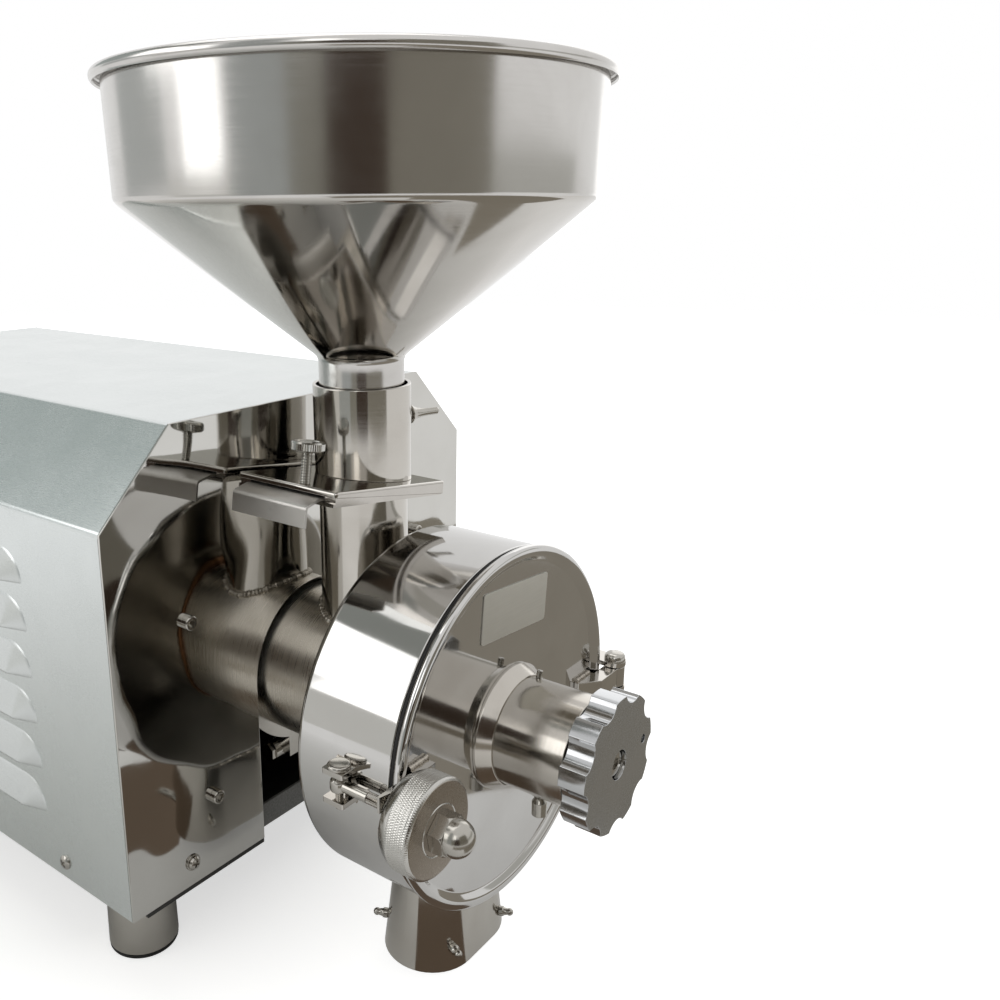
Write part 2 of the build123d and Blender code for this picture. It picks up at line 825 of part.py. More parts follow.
# Hinge on the right of the drum
pin_radius = 4.0
knuckle_radius = 7.0
strap_low = axis_z - 16.0
strap_high = axis_z - 3.0
strap_half = 4.5
strap_root = 74.0
strap_bend = 92.0
strap_ramp = 86.0
strap_knuckle = knuckle_radius - 0.5
hinge_plate = 3.0
hinge_play = 0.4
hinge_root_x = 95.0
hinge_root_back = 118.0
hinge_step = 126.0
hinge_root_front = 140.5
hinge_nut = 6.2
hinge_nut_height = 6.0
hinge_head = 6.5
hinge_head_height = 5.0
hinge_head_bevel = 1.5
hinge_y = ahead(hinge_reach)
with BuildPart() as hinge_bracket:
    for low in (strap_low - hinge_play - hinge_plate, strap_high + hinge_play):
        with BuildSketch(Plane.XY.offset(low)):
            with BuildLine():
                Polyline(
                    (hinge_root_x, ahead(hinge_root_back)),
                    (hinge_x + knuckle_radius, ahead(hinge_step)),
                    (hinge_x + knuckle_radius, hinge_y),
                    (hinge_x - knuckle_radius, hinge_y),
                    (hinge_x - knuckle_radius, ahead(hinge_root_front)),
                    (hinge_root_x, ahead(hinge_root_front)),
                    close=True,
                )
            make_face()
            with Locations((hinge_x, hinge_y)):
                Circle(knuckle_radius)
                Circle(pin_radius, mode=Mode.SUBTRACT)
        extrude(amount=hinge_plate)
    revolve(drum_body, axis=mill_axis, mode=Mode.SUBTRACT)

with BuildPart() as hinge_pin:
    plates_bottom = strap_low - hinge_play - hinge_plate
    plates_top = strap_high + hinge_play + hinge_plate
    pin_section = upright(
        hinge_x,
        hinge_y,
        (0, plates_bottom - hinge_nut_height),
        (hinge_nut, plates_bottom - hinge_nut_height),
        (hinge_nut, plates_bottom),
        (pin_radius, plates_bottom),
        (pin_radius, plates_top),
        (hinge_head, plates_top),
        (hinge_head, plates_top + hinge_head_height - hinge_head_bevel),
        (hinge_head - hinge_head_bevel, plates_top + hinge_head_height),
        (0, plates_top + hinge_head_height),
    )
    revolve(pin_section, axis=vertical(hinge_x, hinge_y))

with BuildPart() as hinge_strap:
    strap_back = hinge_reach - strap_half
    strap_front = hinge_reach + strap_half
    with BuildSketch(Plane.XY.offset(strap_low)):
        with BuildLine():
            Polyline(
                (strap_root, ahead(door_face)),
                (strap_bend, ahead(door_face)),
                (strap_bend + 1, ahead(strap_back)),
                (hinge_x, ahead(strap_back)),
                (hinge_x, ahead(strap_front)),
                (strap_ramp, ahead(strap_front)),
                (strap_root, ahead(door_bead)),
                close=True,
            )
        make_face()
        with Locations((hinge_x, hinge_y)):
            Circle(strap_knuckle)
            Circle(pin_radius + fit_gap, mode=Mode.SUBTRACT)
    extrude(amount=strap_high - strap_low)

# Door with the adjuster
piston_radius = 26.0
piston_bore = piston_radius + 0.08
lip_radius = drum_radius - drum_wall - 0.4
gasket_front = 143.4
gasket_play = 0.3
gasket_inset = 0.5
bead_width = 5.5
bead_flank = 9.5
bead_round = 2.6
skin_back = 143.0
lip_back = 139.0
lip_wall = 2.4
with BuildPart() as door_cap:
    door_section = turned(
        (skin_back, piston_bore),
        (door_face, piston_bore),
        (door_face, door_radius - bead_flank),
        (door_bead, door_radius - bead_width),
        (door_bead, door_radius),
        (gasket_front, door_radius),
        (gasket_front, lip_radius),
        (lip_back, lip_radius),
        (lip_back, lip_radius - lip_wall),
        (skin_back, lip_radius - lip_wall),
    )
    revolve(door_section, axis=mill_axis)
    bead_edges = door_cap.edges().filter_by(GeomType.CIRCLE).group_by(Axis.Y)[0]
    fillet(bead_edges, radius=bead_round)

with BuildPart() as door_gasket:
    gasket_section = turned(
        (drum_front + gasket_play, lip_radius + gasket_play),
        (drum_front + gasket_play, drum_radius - gasket_inset),
        (gasket_front, drum_radius - gasket_inset),
        (gasket_front, lip_radius + gasket_play),
    )
    revolve(gasket_section, axis=mill_axis)

tube_radius = 30.5
tube_end = 196.0
cap_start = 186.0
spindle_radius = 8.0
ring_radius = 36.0
ring_edge = 147.5
ring_end = 155.0
ring_tip_radius = 31.2
with BuildPart() as adjuster_tube:
    tube_section = turned(
        (door_face, piston_bore),
        (door_face, tube_radius),
        (tube_end, tube_radius),
        (tube_end, spindle_radius + fit_gap),
        (cap_start, spindle_radius + fit_gap),
        (cap_start, piston_bore),
    )
    revolve(tube_section, axis=mill_axis)

with BuildPart() as adjuster_collar:
    collar_section = turned(
        (door_face, tube_radius),
        (door_face, ring_radius),
        (ring_edge, ring_radius),
        (ring_end, ring_tip_radius),
        (ring_end, tube_radius),
    )
    revolve(collar_section, axis=mill_axis)

# The tube screw is a lock nut, a neck and a head, given as radius and heights above the tube; a small peg
# stands on top of the tube.
tube_screw_reach = 167.0
tube_nut = (5.5, 0.2, 4.0)
tube_neck = (3.0, 9.0)
tube_screw_head = (4.2, 18.0)
tube_peg_reach = 158.5
tube_peg_angle = 72.0
tube_peg = (1.7, 0.2, 4.4)
with BuildPart() as tube_screws:
    screw_plane = Plane(origin=(0, ahead(tube_screw_reach), axis_z), x_dir=(0, 1, 0), z_dir=(0, 0, -1))
    screw_section = spun(
        screw_plane,
        (0, tube_radius + tube_nut[1]),
        (tube_nut[0], tube_radius + tube_nut[1]),
        (tube_nut[0], tube_radius + tube_nut[2]),
        (tube_neck[0], tube_radius + tube_nut[2]),
        (tube_neck[0], tube_radius + tube_neck[1]),
        (tube_screw_head[0], tube_radius + tube_neck[1]),
        (tube_screw_head[0], tube_radius + tube_screw_head[1]),
        (0, tube_radius + tube_screw_head[1]),
    )
    revolve(screw_section, axis=normal_axis(screw_plane))
    peg_out = Vector(cos(radians(tube_peg_angle)), 0, sin(radians(tube_peg_angle)))
    peg_plane = Plane(origin=(0, ahead(tube_peg_reach), axis_z), x_dir=(0, 1, 0), z_dir=peg_out)
    peg_section = spun(
        peg_plane,
        (0, tube_radius + tube_peg[1]),
        (tube_peg[0], tube_radius + tube_peg[1]),
        (tube_peg[0], tube_radius + tube_peg[2]),
        (0, tube_radius + tube_peg[2]),
    )
    revolve(peg_section, axis=normal_axis(peg_plane))

plate_x = 3.0
plate_z = 235.0
plate_width = 64.0
plate_height = 28.0
plate_corner = 2.0
plate_tilt = -5.0
plate_thickness = 0.8
with BuildPart() as blank_plate:
    with BuildSketch(front_plane(door_face)):
        with Locations(Location((plate_x, plate_z, 0), (0, 0, plate_tilt))):
            RectangleRounded(plate_width, plate_height, plate_corner)
    extrude(amount=plate_thickness)

# Grinding stones: the runner turns with the shaft, the bed stone is pushed by the adjuster spindle
hub_back = 88.0
runner_back = 94.0
runner_front = 106.0
bed_back = runner_front + stone_gap
bed_front = 118.6
runner_eye = 42.0
bed_eye = 30.0
shaft_nose = 14.0
furrow_depth = 1.5
furrow_count = 10
furrow_width = 4.0
furrow_shift = 14.0
furrow_inset = 6.0
furrow_turn = 9.0
hub_boss = 22.0
hub_boss_back = 84.0
hub_hole_ring = 32.0
hub_hole = 8.5
shaft_thread = 10.0
shaft_nut_radius = 17.0
shaft_nut_height = 8.0


def furrow(angle, eye, face, depth):
    """One straight furrow, cut tangent to the stone's eye, drawn on its grinding face."""
    with BuildSketch(front_plane(face)) as groove:
        with Locations(Location((0, axis_z, 0), (0, 0, angle))):
            with Locations((stone_radius / 2 + furrow_shift, eye - furrow_inset)):
                Rectangle(stone_radius, furrow_width)
    return extrude(groove.sketch, amount=depth, mode=Mode.PRIVATE)


with BuildPart() as runner_stone:
    runner_section = turned(
        (runner_back, runner_eye),
        (runner_back, stone_radius),
        (runner_front, stone_radius),
        (runner_front, runner_eye),
    )
    revolve(runner_section, axis=mill_axis)
    for step in range(furrow_count):
        add(furrow(step * 360 / furrow_count, runner_eye, runner_front, -furrow_depth), mode=Mode.SUBTRACT)

with BuildPart() as bed_stone:
    bed_section = turned(
        (bed_back, bed_eye),
        (bed_back, stone_radius),
        (bed_front, stone_radius),
        (bed_front, bed_eye),
    )
    revolve(bed_section, axis=mill_axis)
    for step in range(furrow_count):
        angle = step * 360 / furrow_count + furrow_turn
        add(furrow(angle, bed_eye, bed_back, furrow_depth), mode=Mode.SUBTRACT)

with BuildPart() as runner_hub:
    hub_section = turned(
        (hub_boss_back, shaft_nose),
        (hub_boss_back, hub_boss),
        (hub_back, hub_boss),
        (hub_back, stone_radius),
        (runner_back, stone_radius),
        (runner_back, shaft_nose),
    )
    revolve(hub_section, axis=mill_axis)
    with BuildSketch(front_plane(hub_back)):
        with Locations((0, axis_z)):
            with PolarLocations(hub_hole_ring, 4):
                Circle(hub_hole)
    extrude(amount=runner_back - hub_back, mode=Mode.SUBTRACT)

shaft_tip = 104.0
shaft_rear = 335.0
with BuildPart() as motor_shaft:
    shaft_section = turned(
        (shaft_tip, 0),
        (shaft_tip, shaft_thread),
        (runner_back, shaft_thread),
        (runner_back, shaft_nose),
        (-bell_front, shaft_nose),
        (-bell_front, front_bearing[0]),
        (-motor_rear, front_bearing[0]),
        (-motor_rear, rear_bearing[0]),
        (-shaft_rear, rear_bearing[0]),
        (-shaft_rear, 0),
    )
    revolve(shaft_section, axis=mill_axis)

with BuildPart() as shaft_nut:
    with BuildSketch(front_plane(runner_back)):
        with Locations((0, axis_z)):
            RegularPolygon(shaft_nut_radius, 6)
            Circle(shaft_thread, mode=Mode.SUBTRACT)
    extrude(amount=shaft_nut_height)

core_inset = 22.0
core_radius = stator_bore - 0.5
with BuildPart() as rotor_core:
    core_section = turned(
        (-motor_front - core_inset, front_bearing[0]),
        (-motor_front - core_inset, core_radius),
        (core_inset - motor_rear, core_radius),
        (core_inset - motor_rear, front_bearing[0]),
    )
    revolve(core_section, axis=mill_axis)

fan_back = 330.0
fan_depth = 20.0
fan_disc = 3.0
fan_hub = 22.0
fan_radius = 62.0
fan_blades = 8
blade_middle = 40.0
blade_length = 44.0
blade_thickness = 3.0
with BuildPart() as cooling_fan:
    fan_section = turned(
        (fan_depth - fan_back, rear_bearing[0]),
        (fan_depth - fan_back, fan_hub),
        (fan_disc - fan_back, fan_hub),
        (fan_disc - fan_back, fan_radius),
        (-fan_back, fan_radius),
        (-fan_back, rear_bearing[0]),
    )
    revolve(fan_section, axis=mill_axis)
    with BuildSketch(front_plane(fan_disc - fan_back)):
        with Locations((0, axis_z)):
            with PolarLocations(blade_middle, fan_blades):
                Rectangle(blade_length, blade_thickness)
    extrude(amount=fan_depth - fan_disc)

auger_front = 76.0
auger_back = -4.0
auger_hub = 20.0
flight_radius = 44.5
flight_pitch = 46.0
flight_thickness = 5.0
flight_length = auger_front - auger_back - flight_thickness - 2
with BuildPart() as feed_auger:
    auger_section = turned(
        (auger_front, shaft_nose),
        (auger_front, auger_hub),
        (auger_back, auger_hub),
        (auger_back, shaft_nose),
    )
    revolve(auger_section, axis=mill_axis)
    flight_start = auger_front - flight_thickness / 2 - 1
    with BuildLine():
        spiral = Helix(
            flight_pitch,
            flight_length,
            auger_hub,
            center=(0, ahead(flight_start), axis_z),
            direction=(0, 1, 0),
        )
    flight_root = spiral @ 0
    outward = flight_root - Vector(0, ahead(flight_start), axis_z)
    with BuildSketch(Plane(origin=flight_root, x_dir=outward, z_dir=spiral % 0)):
        with Locations(((flight_radius - auger_hub) / 2 - 0.5, 0)):
            Rectangle(flight_radius - auger_hub + 1, flight_thickness)
    sweep(path=spiral, is_frenet=True)

spindle_back = 140.0
flange_back = 178.4
flange_front = 181.5
flange_radius = 14.0
carrier_front = 125.0
carrier_end = 178.0
pocket_back = 139.0
with BuildPart() as stone_carrier:
    carrier_section = turned(
        (bed_front, 0),
        (bed_front, stone_radius),
        (carrier_front, stone_radius),
        (carrier_front, piston_radius),
        (carrier_end, piston_radius),
        (carrier_end, spindle_radius + fit_gap),
        (pocket_back, spindle_radius + fit_gap),
        (pocket_back, 0),
    )
    revolve(carrier_section, axis=mill_axis)

knob_back = 198.0
knob_lobes = 9
knob_radius = 37.5
knob_phase = 11.0
knob_recess = 5.0
knob_notch = 10.0
knob_notch_ring = 43.0
knob_edge = 1.2
knob_screw_radius = spindle_radius - 0.6
knob_screw_height = 3.0
knob_socket = 3.5
knob_socket_depth = 2.0
with BuildPart() as adjuster_spindle:
    spindle_section = turned(
        (spindle_back, 0),
        (spindle_back, spindle_radius),
        (flange_back, spindle_radius),
        (flange_back, flange_radius),
        (flange_front, flange_radius),
        (flange_front, spindle_radius),
        (knob_reach - knob_recess, spindle_radius),
        (knob_reach - knob_recess, 0),
    )
    revolve(spindle_section, axis=mill_axis)

with BuildPart() as star_knob:
    with BuildSketch(front_plane(knob_back)):
        with Locations((0, axis_z)):
            Circle(knob_radius)
            Circle(spindle_radius, mode=Mode.SUBTRACT)
            with PolarLocations(knob_notch_ring, knob_lobes, start_angle=knob_phase + 180 / knob_lobes):
                Circle(knob_notch, mode=Mode.SUBTRACT)
    extrude(amount=knob_reach - knob_back)
    fillet(star_knob.faces().sort_by(Axis.Y)[0].outer_wire().edges(), radius=knob_edge)

with BuildPart() as knob_screw:
    with BuildSketch(front_plane(knob_reach - knob_recess)):
        with Locations((0, axis_z)):
            Circle(knob_screw_radius)
    extrude(amount=knob_screw_height)
    with BuildSketch(front_plane(knob_reach - knob_recess + knob_screw_height)):
        with Locations((0, axis_z)):
            RegularPolygon(knob_socket, 6)
    extrude(amount=-knob_socket_depth, mode=Mode.SUBTRACT)

# Swing-bolt latch on the left of the drum
latch_y = ahead(latch_reach)
latch_pin_radius = 2.0
latch_gap = 6.6
latch_plate = 3.0
latch_plate_half = 6.8
latch_plate_tip = latch_x - 5.5
latch_plate_root = -92.0
latch_head = 6.0
latch_head_height = 2.4
latch_head_bevel = 0.8
latch_tail = 4.0
with BuildPart() as latch_bracket:
    for low in (latch_z - latch_gap - latch_plate, latch_z + latch_gap):
        with BuildSketch(Plane.XY.offset(low)):
            with BuildLine():
                Polyline(
                    (latch_plate_root, ahead(latch_reach - latch_plate_half)),
                    (latch_plate_tip, ahead(latch_reach - latch_plate_half)),
                    (latch_plate_tip, ahead(latch_reach + latch_plate_half)),
                    (latch_plate_root, ahead(latch_reach + latch_plate_half)),
                    close=True,
                )
            make_face()
            with Locations((latch_x, latch_y)):
                Circle(latch_pin_radius, mode=Mode.SUBTRACT)
        extrude(amount=latch_plate)
    revolve(drum_body, axis=mill_axis, mode=Mode.SUBTRACT)

with BuildPart() as latch_pin:
    latch_top = latch_z + latch_gap + latch_plate
    latch_foot = latch_z - latch_gap - latch_plate - latch_tail
    latch_pin_section = upright(
        latch_x,
        latch_y,
        (0, latch_foot),
        (latch_pin_radius, latch_foot),
        (latch_pin_radius, latch_top),
        (latch_head, latch_top),
        (latch_head, latch_top + latch_head_height - latch_head_bevel),
        (latch_head - latch_head_bevel, latch_top + latch_head_height),
        (0, latch_top + latch_head_height),
    )
    revolve(latch_pin_section, axis=vertical(latch_x, latch_y))

rod_radius = 3.0
rod_end = 190.0
eye_radius = 4.8
eye_height = 7.0
with BuildPart() as swing_bolt:
    with BuildSketch(Plane.XY.offset(latch_z - eye_height / 2)):
        with Locations((latch_x, latch_y)):
            Circle(eye_radius)
    extrude(amount=eye_height)
    with BuildSketch(front_plane(latch_reach)):
        with Locations((latch_x, latch_z)):
            Circle(rod_radius)
    extrude(amount=rod_end - latch_reach)
    with BuildSketch(Plane.XY.offset(latch_z - eye_height / 2)):
        with Locations((latch_x, latch_y)):
            Circle(latch_pin_radius + fit_gap)
    extrude(amount=eye_height, mode=Mode.SUBTRACT)

# The wheel nut widens from a plain cone at its back to the knurled rim; a dome nut closes its front.
collar_radius = 8.0
collar_back = 153.1
collar_front = 156.2
wheel_back = 156.5
wheel_cone = 163.0
wheel_front = 176.5
wheel_radius = 24.6
wheel_back_radius = 20.6
wheel_edge = 1.5
hex_radius = 10.5
hex_front = 184.5
dome_middle = 186.0
dome_radius = 9.1
dome_tip = dome_middle + dome_radius
dome_hollow = 193.0
latch_thread = rod_radius + fit_gap
latch_axis_plane = Plane(origin=(latch_x, panel_y, latch_z), x_dir=(0, 0, 1), z_dir=(0, -1, 0))
with BuildPart() as latch_collar:
    with BuildSketch(latch_axis_plane.offset(collar_back)):
        Circle(collar_radius)
        Circle(latch_thread, mode=Mode.SUBTRACT)
    extrude(amount=collar_front - collar_back)

with BuildPart() as latch_wheel:
    wheel_section = spun(
        latch_axis_plane,
        (latch_thread, wheel_back),
        (wheel_back_radius, wheel_back),
        (wheel_radius, wheel_cone),
        (wheel_radius, wheel_front - wheel_edge),
        (wheel_radius - wheel_edge, wheel_front),
        (latch_thread, wheel_front),
    )
    revolve(wheel_section, axis=normal_axis(latch_axis_plane))

with BuildPart() as dome_nut:
    with BuildSketch(latch_axis_plane.offset(wheel_front)):
        RegularPolygon(hex_radius, 6)
    extrude(amount=hex_front - wheel_front)
    with BuildSketch(Plane(origin=latch_axis_plane.origin, x_dir=(1, 0, 0), z_dir=(0, 0, 1))):
        with BuildLine():
            CenterArc((0, -dome_middle), dome_radius, -90, 90)
            Polyline((dome_radius, -dome_middle), (dome_radius, -hex_front), (0, -hex_front), (0, -dome_tip))
        make_face()
    revolve(axis=normal_axis(latch_axis_plane))
    with BuildSketch(latch_axis_plane.offset(wheel_front)):
        Circle(latch_thread)
    extrude(amount=dome_hollow - wheel_front, mode=Mode.SUBTRACT)

# The fork lug's tips slope back, so that the collar clears them as the bolt swings out.
lug_inner = -78.0
lug_tip = -119.0
lug_slope_start = -110.0
lug_slope = 2.0
lug_half = 12.5
lug_slot = 4.0
lug_front = 152.8
lug_back = door_bead + 0.3
lug_foot = 14.0
with BuildPart() as latch_lug:
    with BuildSketch(front_plane(lug_back)):
        with Locations(((lug_inner + lug_tip) / 2, latch_z)):
            Rectangle(lug_inner - lug_tip, 2 * lug_half)
        with Locations((lug_tip, latch_z)):
            Rectangle(2 * (latch_x + lug_slot - lug_tip), 2 * lug_slot, mode=Mode.SUBTRACT)
    extrude(amount=lug_front - lug_back)
    with BuildSketch(Plane.XY.offset(latch_z - lug_half)):
        with BuildLine():
            Polyline(
                (lug_slope_start, ahead(lug_front)),
                (lug_tip, ahead(lug_front - lug_slope)),
                (lug_tip, ahead(lug_front)),
                close=True,
            )
        make_face()
    extrude(amount=2 * lug_half, mode=Mode.SUBTRACT)
    with BuildSketch(front_plane(door_face)):
        with Locations((lug_inner - lug_foot / 2, latch_z)):
            Rectangle(lug_foot, 2 * lug_half)
    extrude(amount=lug_back - door_face)

pieces = {
    "housing_cover": housing_cover,
    "front_panel": front_panel,
    "panel_stiffener": panel_stiffener,
    "rear_panel": rear_panel,
    "base_plate": base_plate,
    "legs": legs,
    "leg_pads": leg_pads,
    "panel_screws": panel_screws,
    "socket_screws": socket_screws,
    "side_screws": side_screws,
    "motor_frame": motor_frame,
    "motor_front_bell": motor_front_bell,
    "motor_rear_bell": motor_rear_bell,
    "motor_bearings": motor_bearings,
    "switch_body": switch_body,
    "switch_rocker": switch_rocker,
    "cable_gland": cable_gland,
    "feed_barrel": feed_barrel,
    "barrel_clamp": barrel_clamp,
    "clamp_bolt": clamp_bolt,
    "feed_pipe": feed_pipe,
    "gate_seat": gate_seat,
    "gate_guide": gate_guide,
    "gate_plate": gate_plate,
    "thumb_screw": thumb_screw,
    "hopper_sleeve": hopper_sleeve,
    "lock_boss": lock_boss,
    "lock_screw": lock_screw,
    "hopper": hopper,
    "drum_shell": drum_shell,
    "outlet_chute": outlet_chute,
    "bag_pins": bag_pins,
    "hinge_bracket": hinge_bracket,
    "hinge_pin": hinge_pin,
    "hinge_strap": hinge_strap,
    "door_cap": door_cap,
    "door_gasket": door_gasket,
    "adjuster_tube": adjuster_tube,
    "adjuster_collar": adjuster_collar,
    "tube_screws": tube_screws,
    "blank_plate": blank_plate,
    "runner_stone": runner_stone,
    "runner_hub": runner_hub,
    "shaft_nut": shaft_nut,
    "motor_shaft": motor_shaft,
    "rotor_core": rotor_core,
    "cooling_fan": cooling_fan,
    "feed_auger": feed_auger,
    "bed_stone": bed_stone,
    "stone_carrier": stone_carrier,
    "adjuster_spindle": adjuster_spindle,
    "star_knob": star_knob,
    "knob_screw": knob_screw,
    "latch_bracket": latch_bracket,
    "latch_pin": latch_pin,
    "swing_bolt": swing_bolt,
    "latch_collar": latch_collar,
    "latch_wheel": latch_wheel,
    "dome_nut": dome_nut,
    "latch_lug": latch_lug,
}
for name, piece in pieces.items():
    piece.part.label = name
    export_step(piece.part, f"parts/{name}.step")
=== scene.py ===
from math import atan, cos, pi, radians, sin, sqrt, tan

import bmesh
import bpy
from mathutils import Matrix, Vector


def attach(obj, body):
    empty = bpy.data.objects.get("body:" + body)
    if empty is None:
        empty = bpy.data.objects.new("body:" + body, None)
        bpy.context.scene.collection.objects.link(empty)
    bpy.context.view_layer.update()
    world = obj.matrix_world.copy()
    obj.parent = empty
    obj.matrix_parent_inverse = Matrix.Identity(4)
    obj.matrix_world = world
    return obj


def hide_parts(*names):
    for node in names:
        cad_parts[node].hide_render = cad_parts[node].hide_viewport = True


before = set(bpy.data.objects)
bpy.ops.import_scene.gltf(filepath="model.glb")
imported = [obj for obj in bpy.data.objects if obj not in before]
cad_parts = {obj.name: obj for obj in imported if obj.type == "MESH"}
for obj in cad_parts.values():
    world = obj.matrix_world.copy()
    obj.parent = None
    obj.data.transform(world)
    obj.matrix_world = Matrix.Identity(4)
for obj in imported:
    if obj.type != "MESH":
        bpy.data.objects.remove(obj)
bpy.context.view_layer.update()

# Sizes in millimetres, the same as in the part's source. The mill faces -Y and z = 0 is the bench.
MM = 0.001
PANEL_Y = -130.5
AXIS_Z = 165.5
FEED_Y = PANEL_Y - 42.0
HALF_WIDTH = 154.5
SHOULDER = 106.0
HOUSING_BOTTOM = 59.0
HOUSING_SIDE_TOP = 287.5
HOUSING_TOP = 336.5
HOUSING_LENGTH = 460.0
SHEET = 1.5
CUTOUT = 53.0
BARREL = 49.5
BARREL_BORE = 45.5
PIPE = 26.2
PIPE_BORE = 24.2
DRUM = 101.5
DRUM_BORE = 99.0
DRUM_BACK = 78.5
DRUM_FLOOR = 82.5
DRUM_FRONT = 141.5
DOOR_FACE = 146.0
GATE_Z = 293.5
GATE_TILT = atan(0.15)
LATCH_X = -107.0
LATCH_REACH = 115.0
LATCH_Z = 169.0
HINGE_X = 112.0
HINGE_REACH = 154.0
CHUTE_REACH = 102.5
CHUTE_BOTTOM = 10.0
CHUTE_FLARE = tan(radians(6.5))
# Sides of a round piece, from a large one to a tiny one
FINE, MEDIUM, SMALL, TINY = 192, 112, 48, 32


def ahead(distance):
    """y of a point this far in front of the front panel."""
    return PANEL_Y - distance


def at(x, y, z):
    """Matrix that moves a piece to a place in mm."""
    return Matrix.Translation(Vector((x, y, z)) * MM)


def frame_at(origin, axis):
    """Matrix that stands an upright piece at origin, in mm, with its height along axis."""
    return at(*origin) @ Vector((0, 0, 1)).rotation_difference(Vector(axis)).to_matrix().to_4x4()


# Where pieces are stood: lying along the mill or the latch, on the feed pipe's axis, on the tilted gate
LYING = Matrix.Rotation(radians(90), 4, "X")
MILL = at(0, PANEL_Y, AXIS_Z) @ LYING
LATCH = at(LATCH_X, PANEL_Y, LATCH_Z) @ LYING
FEED = at(0, FEED_Y, 0)
GATE = at(0, FEED_Y, GATE_Z) @ Matrix.Rotation(GATE_TILT, 4, "Y")


# Bench work: what every piece is made with

def clear():
    """Leaves edit mode, with nothing selected."""
    if bpy.context.object and bpy.context.object.mode == "EDIT":
        bpy.ops.object.mode_set(mode="OBJECT")
    bpy.ops.object.select_all(action="DESELECT")


def take(piece):
    """Selects one piece alone."""
    clear()
    piece.select_set(True)
    bpy.context.view_layer.objects.active = piece


def open_up(piece):
    """Enters edit mode, with all of the piece selected."""
    take(piece)
    bpy.ops.object.mode_set(mode="EDIT")
    bpy.ops.mesh.select_all(action="SELECT")


def close_up():
    """Merges what coincides, turns the faces outwards and leaves edit mode."""
    bpy.ops.mesh.select_all(action="SELECT")
    bpy.ops.mesh.remove_doubles(threshold=1e-6)
    bpy.ops.mesh.normals_make_consistent(inside=False)
    bpy.ops.object.mode_set(mode="OBJECT")


def pick(kind, test):
    """Selects, in edit mode, the corners, edges or faces whose middle (mm) and direction pass a test."""
    bpy.ops.mesh.select_mode(type=kind)
    bpy.ops.mesh.select_all(action="DESELECT")
    mesh = bpy.context.object.data
    shape = bmesh.from_edit_mesh(mesh)
    if kind == "VERT":
        found = [v for v in shape.verts if test(v.co / MM, v.normal)]
    elif kind == "EDGE":
        found = []
        for e in shape.edges:
            start, end = e.verts[0].co, e.verts[1].co
            if test((start + end) / (2 * MM), (end - start).normalized()):
                found.append(e)
    else:
        found = [f for f in shape.faces if test(f.calc_center_median() / MM, f.normal)]
    for part in found:
        part.select_set(True)
    shape.select_flush_mode()
    bmesh.update_edit_mesh(mesh)


def pull(step):
    """Extrudes what is selected by a step in mm."""
    bpy.ops.mesh.extrude_region_move(TRANSFORM_OT_translate={"value": Vector(step) * MM})


def move(step):
    """Moves what is selected by a step in mm."""
    bpy.ops.transform.translate(value=Vector(step) * MM)


def bend(radius, segments=4):
    """Rounds the selected edges as bends of a sheet."""
    bpy.ops.mesh.bevel(offset=radius * MM, segments=segments, affect="EDGES")


def modify(piece, kind, **settings):
    """Adds a modifier with its settings and applies it."""
    take(piece)
    modifier = piece.modifiers.new(kind, kind)
    for key, value in settings.items():
        setattr(modifier, key, value)
    bpy.ops.object.modifier_apply(modifier=modifier.name)


def thicken(piece, wall, side=-1.0, even=True):
    """Gives a sheet its wall in mm, behind its faces or, with a side of 1, in front of them."""
    modify(piece, "SOLIDIFY", thickness=wall * MM, offset=side, use_even_offset=even)


def break_edges(piece, width, segments=2, limit=32):
    """Rounds all edges sharper than a limit in degrees."""
    modify(
        piece, "BEVEL", width=width * MM, segments=segments, limit_method="ANGLE",
        angle_limit=radians(limit), use_clamp_overlap=True,
    )


def cut(piece, cutter, operation="DIFFERENCE"):
    """Cuts a piece with another, which is used up."""
    modify(piece, "BOOLEAN", object=cutter, operation=operation, solver="EXACT")
    bpy.data.objects.remove(cutter)


def stand(piece, place):
    """Puts a piece in its place and applies it, so that the place is in the mesh."""
    take(piece)
    piece.matrix_world = place @ piece.matrix_world
    bpy.ops.object.transform_apply(location=True, rotation=True, scale=True)
    return piece


def twin(piece, name, place):
    """A copy with its own mesh, stood in its place."""
    take(piece)
    bpy.ops.object.duplicate(linked=False)
    copy = bpy.context.object
    copy.name = name
    return stand(copy, place)


def join(name, *pieces):
    """Joins pieces into the first of them."""
    take(pieces[0])
    for piece in pieces[1:]:
        piece.select_set(True)
    bpy.ops.object.join()
    pieces[0].name = name
    pieces[0].data.name = name
    return pieces[0]


def repeat(name, pattern, places):
    """Stands a copy of a pattern in every place, joins the copies and removes the pattern."""
    copies = [twin(pattern, name, place) for place in places]
    bpy.data.objects.remove(pattern)
    return join(name, *copies)


def arc(across, up, radius, start, end, count):
    """Corners along an arc, with angles in degrees."""
    turns = [radians(start + (end - start) * k / count) for k in range(count + 1)]
    return [(across + radius * cos(t), up + radius * sin(t)) for t in turns]


def draw(name, corners, closed=True):
    """Draws a line through (across, up) corners in mm, in the XZ plane, by pulling one point along it."""
    clear()
    bpy.ops.mesh.primitive_plane_add(size=MM, location=(0, 0, 0))
    piece = bpy.context.object
    piece.name = name
    bpy.ops.object.mode_set(mode="EDIT")
    bpy.ops.mesh.select_mode(type="VERT")
    bpy.ops.mesh.select_all(action="SELECT")
    bpy.ops.mesh.merge(type="CENTER")
    across, up = corners[0]
    move((across, 0, up))
    for next_across, next_up in corners[1:] + corners[:1] * closed:
        step = Vector((next_across - across, 0, next_up - up)) * MM
        bpy.ops.mesh.extrude_vertices_move(TRANSFORM_OT_translate={"value": step})
        across, up = next_across, next_up
    bpy.ops.mesh.select_all(action="SELECT")
    bpy.ops.mesh.remove_doubles(threshold=1e-6)
    return piece


